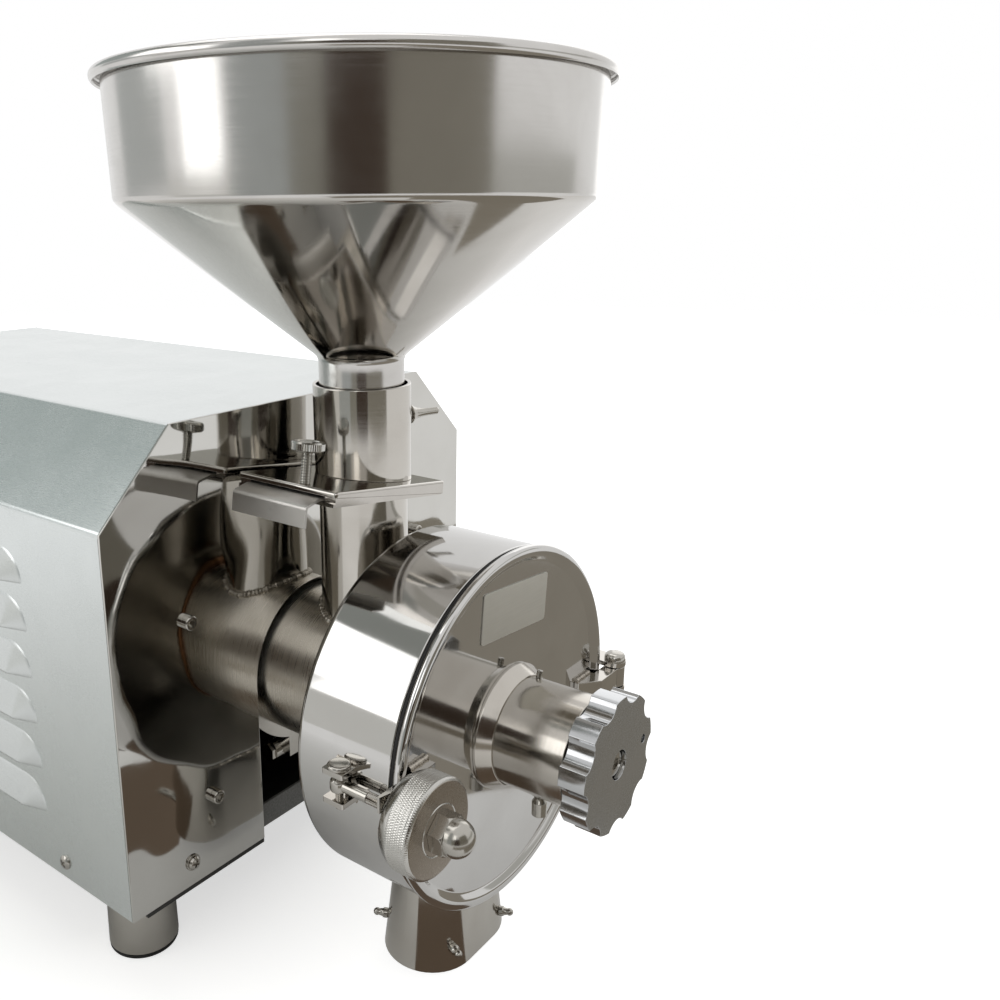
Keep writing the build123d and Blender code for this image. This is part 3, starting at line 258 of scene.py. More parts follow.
def lathe(name, section, steps, closed=True):
    """A section of (radius, height) corners spun about the upright axis."""
    piece = draw(name, section, closed)
    bpy.ops.mesh.spin(steps=steps, angle=2 * pi, center=(0, 0, 0), axis=(0, 0, 1))
    close_up()
    return piece


def tube_wall(bore, radius, low, high):
    """Section of a plain tube, for the lathe."""
    return [(bore, low), (radius, low), (radius, high), (bore, high)]


def threaded(radius, depth, pitch, low, high):
    """Corners of a screw thread's outline, from low to high."""
    turns = int((high - low) / pitch)
    corners = []
    for k in range(turns):
        corners += [(radius - depth, low + k * pitch), (radius, low + (k + 0.5) * pitch)]
    return corners


def plate(name, outline, depth):
    """An outline of (across, up) corners filled and pulled to a depth along +Y."""
    piece = draw(name, outline)
    bpy.ops.mesh.edge_face_add()
    pull((0, depth, 0))
    close_up()
    return piece


def lying_plate(name, outline, low, high):
    """An outline of (x, distance ahead of the panel) corners, lying level between two heights."""
    piece = plate(name, [(x, -ahead(d)) for x, d in outline], high - low)
    return stand(piece, at(0, 0, low) @ LYING)


def round_box(length, width, corner):
    """Outline of a rectangle with round corners."""
    x, y = length / 2 - corner, width / 2 - corner
    places = ((x, y, 0), (-x, y, 90), (-x, -y, 180), (x, -y, 270))
    return [p for cx, cy, start in places for p in arc(cx, cy, corner, start, start + 90, 12)]


def slab(name, low, high):
    """A block between two corners in mm."""
    low, high = Vector(low), Vector(high)
    clear()
    bpy.ops.mesh.primitive_cube_add(size=MM, location=(low + high) * MM / 2, scale=high - low)
    piece = bpy.context.object
    piece.name = name
    bpy.ops.object.transform_apply(location=True, rotation=True, scale=True)
    return piece


def rod(name, radius, low, high, sides=64, turn=0.0):
    """An upright round or many-sided bar, mostly to cut with."""
    clear()
    bpy.ops.mesh.primitive_cylinder_add(
        vertices=sides, radius=radius * MM, depth=(high - low) * MM,
        location=(0, 0, (high + low) * MM / 2), rotation=(0, 0, turn),
    )
    piece = bpy.context.object
    piece.name = name
    bpy.ops.object.transform_apply(location=True, rotation=True, scale=True)
    return piece


def trim_to_drum(piece):
    """Cuts away what reaches into the drum's round."""
    body = rod("drum_body", DRUM - 0.05, DRUM_BACK - 5, DRUM_FRONT + 5, FINE)
    cut(piece, stand(body, MILL))


def tilt_end(tube, end):
    """Tilts the end of an upright tube to the gate's slope."""
    open_up(tube)
    pick("VERT", lambda place, along: abs(place.z - end) < 1)
    bpy.ops.transform.rotate(value=-GATE_TILT, orient_axis="Y", center_override=(0, 0, end * MM))
    clear()


def turn_of(place):
    """Where a place lies about the upright axis, as a share of a full turn."""
    return place.xy.angle_signed(Vector((1, 0))) / (2 * pi)


def faces_inwards(wall):
    """Whether the faces of an upright wall look at its axis."""
    return sum(p.normal.dot(Vector((*p.center.xy, 0))) * p.area for p in wall.data.polygons) < 0


# A weld bead thins by a third in each ripple, and sways a little along its way
BEAD_THINNING, BEAD_SWAY, BEAD_SWAY_RATE = 0.34, 0.12, 0.9


def weld(name, path, width, ripple=2.0, closed=True):
    """A weld bead along a path in mm, swelling and thinning once every ripple of its length."""
    line = bpy.data.curves.new(name, "CURVE")
    line.dimensions = "3D"
    line.bevel_depth = width * MM
    line.bevel_resolution = 3
    line.use_fill_caps = not closed
    spline = line.splines.new("POLY")
    spline.points.add(len(path) - 1)
    spline.use_cyclic_u = closed
    run = 0.0
    for k, place in enumerate(path):
        run += (Vector(place) - Vector(path[k - 1])).length if k else 0.0
        thinned = BEAD_THINNING * (run / ripple % 1.0)
        spline.points[k].co = (*(Vector(place) * MM), 1)
        spline.points[k].radius = 1.0 - thinned + BEAD_SWAY * sin(run * BEAD_SWAY_RATE)
    bead = bpy.data.objects.new(name, line)
    bpy.context.scene.collection.objects.link(bead)
    take(bead)
    bpy.ops.object.convert(target="MESH")
    return bpy.context.object


def fit(piece, finish, body, slot, *nodes, smooth=35):
    """Smooths a finished piece, gives it its material and hangs it on its body in place of CAD nodes."""
    take(piece)
    bpy.ops.object.shade_smooth_by_angle(angle=radians(smooth))
    modify(piece, "WEIGHTED_NORMAL", keep_sharp=True, weight=80)
    piece.data.materials.clear()
    piece.data.materials.append(finish)
    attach(piece, body)
    if nodes:
        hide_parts(*nodes)
    return piece


def refinish(piece, finish, test):
    """Gives the faces that pass a test, as in pick, a second finish."""
    piece.data.materials.append(finish)
    open_up(piece)
    pick("FACE", test)
    piece.active_material_index = len(piece.data.materials) - 1
    bpy.ops.object.material_slot_assign()
    clear()


# Finishes

def hex_colour(code):
    """An sRGB hex colour as linear values."""
    parts = [int(code[k:k + 2], 16) / 255 for k in (1, 3, 5)]
    linear = [p / 12.92 if p <= 0.04045 else ((p + 0.055) / 1.055) ** 2.4 for p in parts]
    return (*linear, 1.0)


def add(tree, kind, inputs=None, **settings):
    """Adds a node, sets it up, and sets or links its inputs."""
    made = tree.nodes.new(kind)
    for key, value in settings.items():
        setattr(made, key, value)
    for socket, value in (inputs or {}).items():
        if isinstance(value, bpy.types.NodeSocket):
            tree.links.new(value, made.inputs[socket])
        else:
            made.inputs[socket].default_value = value
    return made


def blank(name):
    """An empty material: its node tree, its output and the place on the piece in metres."""
    material = bpy.data.materials.new(name)
    material.use_nodes = True
    tree = material.node_tree
    tree.nodes.clear()
    output = add(tree, "ShaderNodeOutputMaterial")
    place = add(tree, "ShaderNodeTexCoord").outputs["Object"]
    return material, tree, output, place


# Sockets of a Mix node that mixes colours: the share, the two tones and the result
SHARE, LIGHT_TONE, DARK_TONE, MIXED = 0, 6, 7, 2
# Distance in mm between two smears of a wiped metal
SMEAR_MM = 38
# How much a speckle of paint, rubber or stone changes its roughness
SPECKLE_WEAR = 0.08


def metal(name, light, dark, rough, smear, grain, grain_depth, ripple_mm, ripple_depth, spin=0.0):
    """A bare metal: colour drifting between two tones, polishing lines, smears and the sheet's slow ripple.

    grain is how many lines cross a millimetre along x, y and z. Real polishing lines are too fine to show,
    so these are drawn several times as coarse. ripple_mm is the distance between two waves, and both depths
    are in mm.
    """
    material, tree, output, place = blank(name)
    lines_at = add(tree, "ShaderNodeMapping", {"Vector": place, "Scale": [g / MM for g in grain]})
    lines = add(tree, "ShaderNodeTexNoise", {"Vector": lines_at.outputs[0], "Scale": 1.0, "Detail": 3.0})
    smears = add(
        tree, "ShaderNodeTexNoise",
        {"Vector": place, "Scale": 1 / (SMEAR_MM * MM), "Detail": 4.0, "Distortion": 0.4},
    )
    waves = add(tree, "ShaderNodeTexNoise", {"Vector": place, "Scale": 1 / (ripple_mm * MM), "Detail": 1.0})
    tone = add(
        tree, "ShaderNodeMix",
        {SHARE: smears.outputs["Fac"], LIGHT_TONE: hex_colour(light), DARK_TONE: hex_colour(dark)},
        data_type="RGBA",
    )
    smeared = add(
        tree, "ShaderNodeMapRange",
        {
            "Value": smears.outputs["Fac"], "From Min": 0.35, "From Max": 0.7,
            "To Min": rough, "To Max": rough + smear,
        },
    )
    lined = add(
        tree, "ShaderNodeMapRange",
        {"Value": lines.outputs["Fac"], "From Min": 0.3, "From Max": 0.7, "To Min": 0.8, "To Max": 1.25},
    )
    roughness = add(
        tree, "ShaderNodeMath", {0: smeared.outputs[0], 1: lined.outputs[0]}, operation="MULTIPLY",
    )
    wavy = add(
        tree, "ShaderNodeBump",
        {"Height": waves.outputs["Fac"], "Strength": 1.0, "Distance": ripple_depth * MM},
    )
    scored = add(
        tree, "ShaderNodeBump",
        {
            "Height": lines.outputs["Fac"], "Strength": 1.0, "Distance": grain_depth * MM,
            "Normal": wavy.outputs[0],
        },
    )
    shader = add(
        tree, "ShaderNodeBsdfPrincipled",
        {
            "Base Color": tone.outputs[MIXED], "Metallic": 1.0, "Roughness": roughness.outputs[0],
            "Normal": scored.outputs[0], "Anisotropic": spin,
        },
    )
    tree.links.new(shader.outputs[0], output.inputs["Surface"])
    return material


def solid(name, light, dark, rough, speckle_mm, bump, coat=0.0):
    """Paint, rubber, plastic or stone: two tones in a speckle of a given size, with a matching relief."""
    material, tree, output, place = blank(name)
    speckle = add(
        tree, "ShaderNodeTexNoise", {"Vector": place, "Scale": 1 / (speckle_mm * MM), "Detail": 6.0},
    )
    specks = add(
        tree, "ShaderNodeMapRange", {"Value": speckle.outputs["Fac"], "From Min": 0.4, "From Max": 0.62},
    )
    tone = add(
        tree, "ShaderNodeMix",
        {SHARE: specks.outputs[0], LIGHT_TONE: hex_colour(light), DARK_TONE: hex_colour(dark)},
        data_type="RGBA",
    )
    worn = add(
        tree, "ShaderNodeMapRange",
        {"Value": speckle.outputs["Fac"], "To Min": rough - SPECKLE_WEAR, "To Max": rough + SPECKLE_WEAR},
    )
    relief = add(
        tree, "ShaderNodeBump",
        {"Height": speckle.outputs["Fac"], "Strength": 1.0, "Distance": bump * MM},
    )
    shader = add(
        tree, "ShaderNodeBsdfPrincipled",
        {
            "Base Color": tone.outputs[MIXED], "Roughness": worn.outputs[0], "Normal": relief.outputs[0],
            "Coat Weight": coat, "Coat Roughness": 0.2,
        },
    )
    tree.links.new(shader.outputs[0], output.inputs["Surface"])
    return material


# Mirror-polished 304 sheet: a clear mirror, wavy where the sheet was rolled, that bends what it shows.
panel_mirror = metal(
    "mirror_polished_panel", "#cccbc7", "#c0beb9", rough=0.03, smear=0.03,
    grain=(0.02, 0.02, 3), grain_depth=0.0006, ripple_mm=78, ripple_depth=3.1,
)
# Polished 304 sheet of the cover: a soft even sheen over long shallow waves.
cover_polished = metal(
    "polished_cover_sheet", "#dde1e0", "#d3d7d6", rough=0.22, smear=0.05,
    grain=(12, 0.2, 12), grain_depth=0.0001, ripple_mm=150, ripple_depth=0.5,
)
# The same sheet where the louvres were pressed: stretched and duller for it, and a little darker as painted
# shade that tones down the hoods' bright reflections.
louvre_sheet_painted_shade = metal(
    "pressed_louvre_sheet_painted_shade", "#d3d6d5", "#c9cccb", rough=0.27, smear=0.06,
    grain=(12, 0.2, 12), grain_depth=0.0002, ripple_mm=60, ripple_depth=0.1,
)
# Spun and brushed 304 of the hopper wall: rings of fine lines, reflections drawn out across them.
hopper_brushed = metal(
    "brushed_hopper_wall", "#cfcdca", "#bbb8b4", rough=0.15, smear=0.05,
    grain=(0.02, 0.02, 4), grain_depth=0.0008, ripple_mm=110, ripple_depth=0.12, spin=0.35,
)
# Polished 304 of the hopper cone: crisp dark reflections of the tubes below.
hopper_polished = metal(
    "polished_hopper_cone", "#c9c6c1", "#b5b1ab", rough=0.06, smear=0.05,
    grain=(0.03, 0.03, 2), grain_depth=0.0008, ripple_mm=90, ripple_depth=0.3,
)
# Belt-polished welded tube on an upright axis: clear upright stripes, crossed by faint rings.
upright_tube = metal(
    "belt_polished_upright_tube", "#c8c5bf", "#b2ada5", rough=0.08, smear=0.07,
    grain=(0.03, 0.03, 4), grain_depth=0.0010, ripple_mm=45, ripple_depth=0.06,
)
# The same tube lying along the mill's axis: softer stripes, drawn out by its rings.
lying_tube = metal(
    "belt_polished_lying_tube", "#c4c0b9", "#aea89f", rough=0.13, smear=0.07,
    grain=(0.03, 4, 0.03), grain_depth=0.0012, ripple_mm=45, ripple_depth=0.06, spin=0.3,
)
# Satin-finished welded tube of the barrel: soft warm greys without a sharp reflection, lighter than the
# other tubes as painted light for the barrel's shaded place under the gate.
satin_tube_painted_light = metal(
    "satin_welded_tube_painted_light", "#e0dad0", "#c4bdb2", rough=0.25, smear=0.10,
    grain=(0.03, 3, 0.03), grain_depth=0.0016, ripple_mm=40, ripple_depth=0.06,
)
# Turned and polished 304 of drum and door: nearly a mirror, in light and dark bands round the drum.
drum_polished = metal(
    "turned_polished_drum", "#cccbc9", "#bbb9b6", rough=0.045, smear=0.05,
    grain=(0.03, 5, 0.03), grain_depth=0.0006, ripple_mm=70, ripple_depth=0.16,
)
# Turned back of the drum: darker than its side as painted shade for the face in the gap to the panel, and
# blurred by the lathe's rings.
drum_back_painted_shade = metal(
    "turned_drum_back_painted_shade", "#a09b92", "#8a857c", rough=0.16, smear=0.08,
    grain=(0.03, 3, 0.03), grain_depth=0.0030, ripple_mm=60, ripple_depth=0.05,
)
# Polished flat bar of lugs, brackets and gate guide: small clear reflections with a slight haze.
plate_polished = metal(
    "polished_flat_bar", "#c6c3be", "#aca7a0", rough=0.07, smear=0.08,
    grain=(0.05, 2, 2), grain_depth=0.0012, ripple_mm=40, ripple_depth=0.06,
)
# Satin-rolled strip of the gate: an even light grey.
gate_satin = metal(
    "satin_gate_strip", "#c6c4c0", "#b6b3ae", rough=0.34, smear=0.06,
    grain=(6, 0.3, 6), grain_depth=0.0001, ripple_mm=40, ripple_depth=0.03,
)
# Turned stainless of the fasteners: small bright glints on grey.
fastener = metal(
    "bright_stainless_fastener", "#bfbcb6", "#9b978f", rough=0.13, smear=0.10,
    grain=(2, 2, 2), grain_depth=0.0020, ripple_mm=25, ripple_depth=0.02,
)
# Knurled stainless of the wheel's rim and the thumb screw: a glitter of small lit sides.
turned_wheel = metal(
    "turned_knurled_wheel", "#c9c8c4", "#b0ada7", rough=0.17, smear=0.08,
    grain=(4, 0.05, 4), grain_depth=0.0025, ripple_mm=30, ripple_depth=0.02,
)
# Faced end of the wheel: warm grey turned rings.
wheel_face = metal(
    "faced_wheel_end", "#a89f94", "#8e857a", rough=0.24, smear=0.10,
    grain=(2.5, 0.05, 2.5), grain_depth=0.0030, ripple_mm=24, ripple_depth=0.05,
)
# Ground steel of the star knob: a dull dark grey face.
ground_knob = metal(
    "ground_steel_knob", "#babcbe", "#a0a2a4", rough=0.20, smear=0.10,
    grain=(2.5, 2.5, 2.5), grain_depth=0.0030, ripple_mm=30, ripple_depth=0.02,
)
# Buffed sides of the knob's lobes: bright and dark stripes.
buffed_knob = metal(
    "buffed_steel_lobes", "#c6c7c8", "#aeafb0", rough=0.09, smear=0.07,
    grain=(0.05, 2.5, 0.05), grain_depth=0.0015, ripple_mm=14, ripple_depth=0.03,
)
# Heat-tinted weld metal: greyer and duller than the tubes.
weld_metal = metal(
    "heat_tinted_weld", "#c4beb4", "#8f877c", rough=0.24, smear=0.14,
    grain=(1.2, 1.2, 1.2), grain_depth=0.0300, ripple_mm=12, ripple_depth=0.02,
)
# Burnt weld between barrel and drum: a straw to brown line, seen in the panel's mirror.
root_weld = metal(
    "burnt_weld", "#80593a", "#2e231c", rough=0.34, smear=0.14,
    grain=(1.2, 1.2, 1.2), grain_depth=0.0300, ripple_mm=12, ripple_depth=0.02,
)
# Machined steel of the inner parts: a plain soft grey with the cutter's rings.
machined = metal(
    "machined_steel", "#b2b0ac", "#96938f", rough=0.26, smear=0.10,
    grain=(0.05, 3, 0.05), grain_depth=0.0030, ripple_mm=40, ripple_depth=0.02,
)
# Brushed blank plate: fine level lines, matt beside the polished door round it.
brushed_plate = metal(
    "brushed_blank_plate", "#c8c6be", "#bab8b0", rough=0.46, smear=0.06,
    grain=(0.05, 1, 5), grain_depth=0.0030, ripple_mm=60, ripple_depth=0.02,
)
# Stove-baked black paint on steel sheet: nearly black, with a weak sheen.
black_paint = solid("black_stove_paint", "#24231f", "#1a1917", rough=0.42, speckle_mm=1.2, bump=0.02)
# Grey primer on the rail: a flat mid grey between the black inside and the floor.
grey_primer = solid("grey_primer", "#7e7e7c", "#6c6c6a", rough=0.55, speckle_mm=1.2, bump=0.02)
# Hammered paint on the motor's castings: a pebbled blue grey.
casting_paint = solid("grey_casting_paint", "#3e454b", "#31373c", rough=0.48, speckle_mm=2.5, bump=0.10)
# Dressed emery stone: a coarse speckled grit.
emery_stone = solid("emery_mill_stone", "#a3998a", "#6e665b", rough=0.88, speckle_mm=1.6, bump=0.25)
# Moulded black nitrile rubber: a dark matt line under the legs and round the door.
rubber = solid("black_nitrile_rubber", "#1c1b1a", "#131312", rough=0.72, speckle_mm=0.8, bump=0.03)
# Moulded black polyamide with a fine spark texture: black with a blurred highlight.
black_moulding = solid("black_polyamide", "#232324", "#19191a", rough=0.5, speckle_mm=0.5, bump=0.02)
# Moulded red polycarbonate of the rocker: glossier than the switch round it.
red_moulding = solid(
    "red_polycarbonate", "#a31d1b", "#8c1513", rough=0.3, speckle_mm=0.7, bump=0.01, coat=0.2,
)

# Material slots
STEEL, SATIN, KNURLED = "polished_steel", "satin_steel", "knurled_steel"
BRIGHT, KNOB = "bright_fasteners", "cast_knob"
PAINTED, RUBBER = "painted_plate", "black_rubber"


# Housing: one folded sheet with pressed louvres on both sides
FOLD = 2.2
LOUVRE_START, LOUVRE_LENGTH, LOUVRE_RISE = 78.0, 120.0, 18.0
LOUVRE_LOWEST, LOUVRE_PITCH, LOUVRE_COUNT = 108.5, 29.0, 6
cover_line = [
    (-HALF_WIDTH, HOUSING_BOTTOM), (-HALF_WIDTH, HOUSING_SIDE_TOP), (-SHOULDER, HOUSING_TOP),
    (SHOULDER, HOUSING_TOP), (HALF_WIDTH, HOUSING_SIDE_TOP), (HALF_WIDTH, HOUSING_BOTTOM),
]
cover = draw("folded_cover", cover_line, closed=False)
move((0, ahead(-SHEET), 0))
pull((0, HOUSING_LENGTH - 2 * SHEET, 0))
pick("EDGE", lambda middle, along: abs(along.y) > 0.9 and middle.z > HOUSING_BOTTOM + 1)
bend(FOLD)
close_up()
thicken(cover, SHEET)

# One louvre's hood: a quarter is spun, pulled straight to the middle and mirrored, its lip rolled in
HOOD_REACH, HOOD_WALL = 18.4, 1.2
hood_line = [(0.0, 6.0), (0.7, 5.9), (9.0, 3.3), (16.6, 0.9), (17.6, 0.35), (HOOD_REACH, -0.1)]
hood = draw("hood", hood_line, closed=False)
bpy.ops.mesh.spin(steps=14, angle=pi / 2, center=(0, 0, 0), axis=(0, 0, 1))
spun_to = 1 if max(v.co.y for v in bmesh.from_edit_mesh(hood.data).verts) > MM else -1
straight = Vector((0, spun_to * (LOUVRE_LENGTH / 2 - HOOD_REACH), 0))
pick("EDGE", lambda middle, along: abs(middle.y) < 0.01)
pull(-straight)
bpy.ops.mesh.select_all(action="SELECT")
move(straight)
close_up()
modify(hood, "MIRROR", use_axis=(False, True, False), merge_threshold=1e-5)
open_up(hood)
pick("EDGE", lambda middle, along: middle.x < 0.01)
pull((-0.8, 0, -0.4))
pull((-0.6, 0, -1.2))
close_up()
if sum(p.normal.z for p in hood.data.polygons) < 0:
    hood.data.flip_normals()
thicken(hood, HOOD_WALL, even=False)

# A hood in every place, and behind it a slot through the sheet
SLOT_END, SLOT_RISE, SLOT_DEPTH = LOUVRE_LENGTH / 2 - 8.0, 13.0, 4.0
slot = slab("slot", (0.0, -SLOT_END, -SLOT_DEPTH), (SLOT_RISE, SLOT_END, SLOT_DEPTH))
louvre_places = []
for side in (-1, 1):
    outwards = Matrix(((0, 0, side, 0), (0, -side, 0, 0), (1, 0, 0, 0), (0, 0, 0, 1)))
    for row in range(LOUVRE_COUNT):
        foot = LOUVRE_LOWEST + LOUVRE_PITCH * row - LOUVRE_RISE / 2
        place = at(side * HALF_WIDTH, ahead(-LOUVRE_START - LOUVRE_LENGTH / 2), foot) @ outwards
        louvre_places.append(place)
        cut(cover, twin(slot, "slot_copy", place))
bpy.data.objects.remove(slot)
cover = join("folded_cover", cover, repeat("hoods", hood, louvre_places))
fit(cover, cover_polished, "machine", SATIN, "housing_cover")
# The hoods take the darker sheet: painted shade
refinish(cover, louvre_sheet_painted_shade, lambda middle, normal: abs(middle.x) > HALF_WIDTH + 0.1)

panel_outline = (
    cover_line + [(CUTOUT, HOUSING_BOTTOM)] + arc(0, AXIS_Z, CUTOUT, 0, 180, 48)
    + [(-CUTOUT, HOUSING_BOTTOM)]
)
panel = plate("polished_panel", panel_outline, SHEET)
stand(panel, at(0, PANEL_Y, 0))
break_edges(panel, 0.35)
fit(panel, panel_mirror, "machine", STEEL, "front_panel")

# Legs: spun cups over rubber pads
LEG_X, LEG_INSET, LEG_SIDES = 114.6, 48.9, 96
leg_places = [
    at(x, ahead(distance), 0)
    for x in (-LEG_X, LEG_X) for distance in (-LEG_INSET, LEG_INSET - HOUSING_LENGTH)
]
leg_section = [
    (21.4, 3.0), (20.4, HOUSING_BOTTOM), (4.0, HOUSING_BOTTOM), (4.0, 55.0), (18.4, 55.0), (19.4, 3.0),
]
leg = lathe("leg", leg_section, LEG_SIDES)
break_edges(leg, 0.7, 3)
fit(repeat("leg_cups", leg, leg_places), upright_tube, "machine", STEEL, "legs")
pad_section = [(0, 0), (20.6, 0), (21.1, 1.0), (21.1, 3.0), (19.1, 3.0), (19.1, 6.0), (0, 6.0)]
pad = lathe("pad", pad_section, LEG_SIDES, closed=False)
break_edges(pad, 0.5)
fit(repeat("leg_rubber_pads", pad, leg_places), rubber, "machine", RUBBER, "leg_pads")

# Black strip under the panel on both sides of its cut-out, shaped as a return flange and painted black as
# the shade along the panel's bottom edge, and the cross rail behind the cut-out
SHADE_STRIP_WIDTH, SHADE_STRIP_FOOT = HALF_WIDTH - CUTOUT - 10.0, 55.8
SHADE_STRIP_FRONT, SHADE_STRIP_BACK = ahead(-0.3), ahead(-3.0)
RAIL_HALF, RAIL_FOOT, RAIL_TOP = CUTOUT + 3.0, 57.0, 73.5
RAIL_FRONT, RAIL_BACK = ahead(-10.6), ahead(-12.6)
shade_strips = [
    slab("shade_strip", (x, SHADE_STRIP_FRONT, SHADE_STRIP_FOOT), (x + SHADE_STRIP_WIDTH, SHADE_STRIP_BACK, HOUSING_BOTTOM))
    for x in (-CUTOUT - SHADE_STRIP_WIDTH, CUTOUT)
]
shade_strip = join("painted_shade_strip", *shade_strips)
break_edges(shade_strip, 0.5)
# The strip's black paint is painted shade: a dark sheet where there is only shadow under the panel's edge
fit(shade_strip, black_paint, "machine", PAINTED)
rail = slab("cross_rail", (-RAIL_HALF, RAIL_FRONT, RAIL_FOOT), (RAIL_HALF, RAIL_BACK, RAIL_TOP))
break_edges(rail, 0.4)
fit(rail, grey_primer, "machine", PAINTED)


# Screws: a domed head with a cross recess, a washer, and a socket head

def cross_head(name, radius, height):
    """A screw's domed head on z = 0, with a cross recess."""
    dome_line = [
        (0, height), (radius * 0.45, height * 0.97), (radius * 0.8, height * 0.75),
        (radius, height * 0.3), (radius, 0), (0, 0),
    ]
    head = lathe(name, dome_line, SMALL, closed=False)
    reach, half = radius * 0.55, 0.55
    for turn in (20, 110):
        bar = slab("bar", (-reach, -half, height * 0.45), (reach, half, height + 2))
        stand(bar, Matrix.Rotation(radians(turn), 4, "Z"))
        cut(head, bar)
    break_edges(head, 0.12)
    return head


def seat(place, out, turn):
    """Where a screw sits: its place, the way out of the sheet and the turn in radians that it stopped at."""
    return frame_at(place, out) @ Matrix.Rotation(turn, 4, "Z")


FORWARD = (0, -1, 0)
WASHER = 1.0
PANEL_SCREW_X, PANEL_SCREW_Z = 110.7, 74.0
SIDE_SCREW_INSET, SIDE_SCREW_Z = 64.0, 70.0
SOCKET_SCREWS = ((-103.0, 224.0), (103.0, 224.0), (-91.0, 109.0), (91.0, 109.0))

# Each screw's place also serves as its turn, so that neighbouring recesses don't line up
panel_screw = cross_head("panel_screw", 4.0, 2.4)
stand(panel_screw, at(0, 0, WASHER))
washer = lathe("washer", tube_wall(2.6, 5.0, 0, WASHER), SMALL)
break_edges(washer, 0.25)
panel_screw = join("panel_screw", panel_screw, washer)
seats = [seat((x, PANEL_Y, PANEL_SCREW_Z), FORWARD, x) for x in (-PANEL_SCREW_X, PANEL_SCREW_X)]
fit(repeat("panel_cross_screws", panel_screw, seats), fastener, "machine", BRIGHT, "panel_screws")

side_screw = cross_head("side_screw", 4.5, 2.2)
seats = [
    seat((side * HALF_WIDTH, ahead(distance), SIDE_SCREW_Z), (side, 0, 0), distance)
    for side in (-1, 1) for distance in (-SIDE_SCREW_INSET, SIDE_SCREW_INSET - HOUSING_LENGTH)
]
fit(repeat("side_cross_screws", side_screw, seats), fastener, "machine", BRIGHT, "side_screws")

socket_line = [(0, 4.5), (3.6, 4.5), (4.2, 3.9), (4.2, 0), (0, 0)]
socket_screw = lathe("socket_screw", socket_line, SMALL, closed=False)
cut(socket_screw, rod("hex", 2.3, 2.3, 8, sides=6))
break_edges(socket_screw, 0.15)
seats = [seat((x, PANEL_Y, z), FORWARD, x) for x, z in SOCKET_SCREWS]
fit(repeat("panel_socket_screws", socket_screw, seats), fastener, "machine", BRIGHT, "socket_screws")

# Feed barrel, feed pipe, and the welds of both
BARREL_TAIL, BARREL_SIDES = -40.0, 128
PIPE_FOOT, PIPE_TOP = 185.0, GATE_Z - 8.3
BEAD_OUT = 0.6
barrel = lathe("welded_barrel", tube_wall(BARREL_BORE, BARREL, BARREL_TAIL, DRUM_BACK), BARREL_SIDES)
stand(barrel, MILL)
cut(barrel, stand(rod("bore", PIPE_BORE, AXIS_Z, AXIS_Z + 70), FEED))
# The barrel's light tones are painted light
fit(barrel, satin_tube_painted_light, "machine", STEEL, "feed_barrel")

pipe = lathe("welded_feed_pipe", tube_wall(PIPE_BORE, PIPE, PIPE_FOOT, PIPE_TOP), MEDIUM)
tilt_end(pipe, PIPE_TOP)
stand(pipe, FEED)
cut(pipe, stand(rod("saddle", BARREL - 0.05, -5, 90, BARREL_SIDES), MILL))
fit(pipe, upright_tube, "machine", STEEL, "feed_pipe")

saddle = [
    (x, y, AXIS_Z + sqrt(BARREL ** 2 - x ** 2) + 0.5)
    for x, y in arc(0, FEED_Y, PIPE + BEAD_OUT, 0, 360, 256)[:-1]
]
fit(weld("saddle_weld", saddle, width=2.0), weld_metal, "machine", STEEL, smooth=50)
barrel_root = [
    (x, ahead(DRUM_BACK - BEAD_OUT), z) for x, z in arc(0, AXIS_Z, BARREL + BEAD_OUT, 0, 360, 360)[:-1]
]
fit(weld("barrel_root_weld", barrel_root, width=1.5), root_weld, "machine", STEEL, smooth=50)

# Sliding feed gate, drawn level and then tilted as one
GUIDE_LEFT, GUIDE_RIGHT, GUIDE_HALF = -65.0, 31.5, 37.0
GUIDE_LIP, GUIDE_SHORT_LIP, GUIDE_FOLD, GUIDE_PORT = 7.5, 3.2, 1.6, 22.0
guide = slab("folded_gate_guide", (GUIDE_LEFT, -GUIDE_HALF, -GUIDE_LIP), (GUIDE_RIGHT, GUIDE_HALF, 0.0))
open_up(guide)
pick("FACE", lambda middle, normal: normal.z < -0.9)
bpy.ops.mesh.delete(type="FACE")
pick("EDGE", lambda middle, along: middle.x < GUIDE_LEFT + 0.1 and middle.z < 0.1 - GUIDE_LIP)
move((0, 0, GUIDE_LIP - GUIDE_SHORT_LIP))
pick("EDGE", lambda middle, along: abs(along.z) > 0.9)
bend(FOLD)
pick("EDGE", lambda middle, along: middle.z > -0.01 and abs(along.z) < 0.1)
bend(GUIDE_FOLD)
clear()
thicken(guide, SHEET)
cut(guide, rod("port", GUIDE_PORT, -4, 4))
break_edges(guide, 0.3, limit=50)
stand(guide, GATE)
fit(guide, plate_polished, "machine", STEEL, "gate_guide")

# The gate's sloping end meets the bend of its finger lip at this angle, in degrees
LIP_START = 109.3
GATE_WIDTH = 55.0
gate_section = (
    [(29.0, -6.0), (29.0, -4.5), (-67.0, -4.5)] + arc(-74.0, -10.1, 3.0, LIP_START, 180, 8)
    + [(-77.0, -19.6), (-75.5, -19.6)] + arc(-74.0, -10.1, 1.5, 180, LIP_START, 6) + [(-66.7, -6.0)]
)
gate = plate("bent_gate_plate", gate_section, GATE_WIDTH)
stand(gate, GATE @ at(0, -GATE_WIDTH / 2, 0))
break_edges(gate, 0.3, limit=50)
fit(gate, gate_satin, "feed_gate", STEEL, "gate_plate")

THUMB_SIDES, THUMB_RIM, THUMB_PLACE = 96, 9.3, (-57.0, -7.0, 0.0)


def rim_groove(place, along):
    """Every second corner of the thumb screw's rim."""
    return place.xy.length > THUMB_RIM and round(turn_of(place) * THUMB_SIDES) % 2 == 0


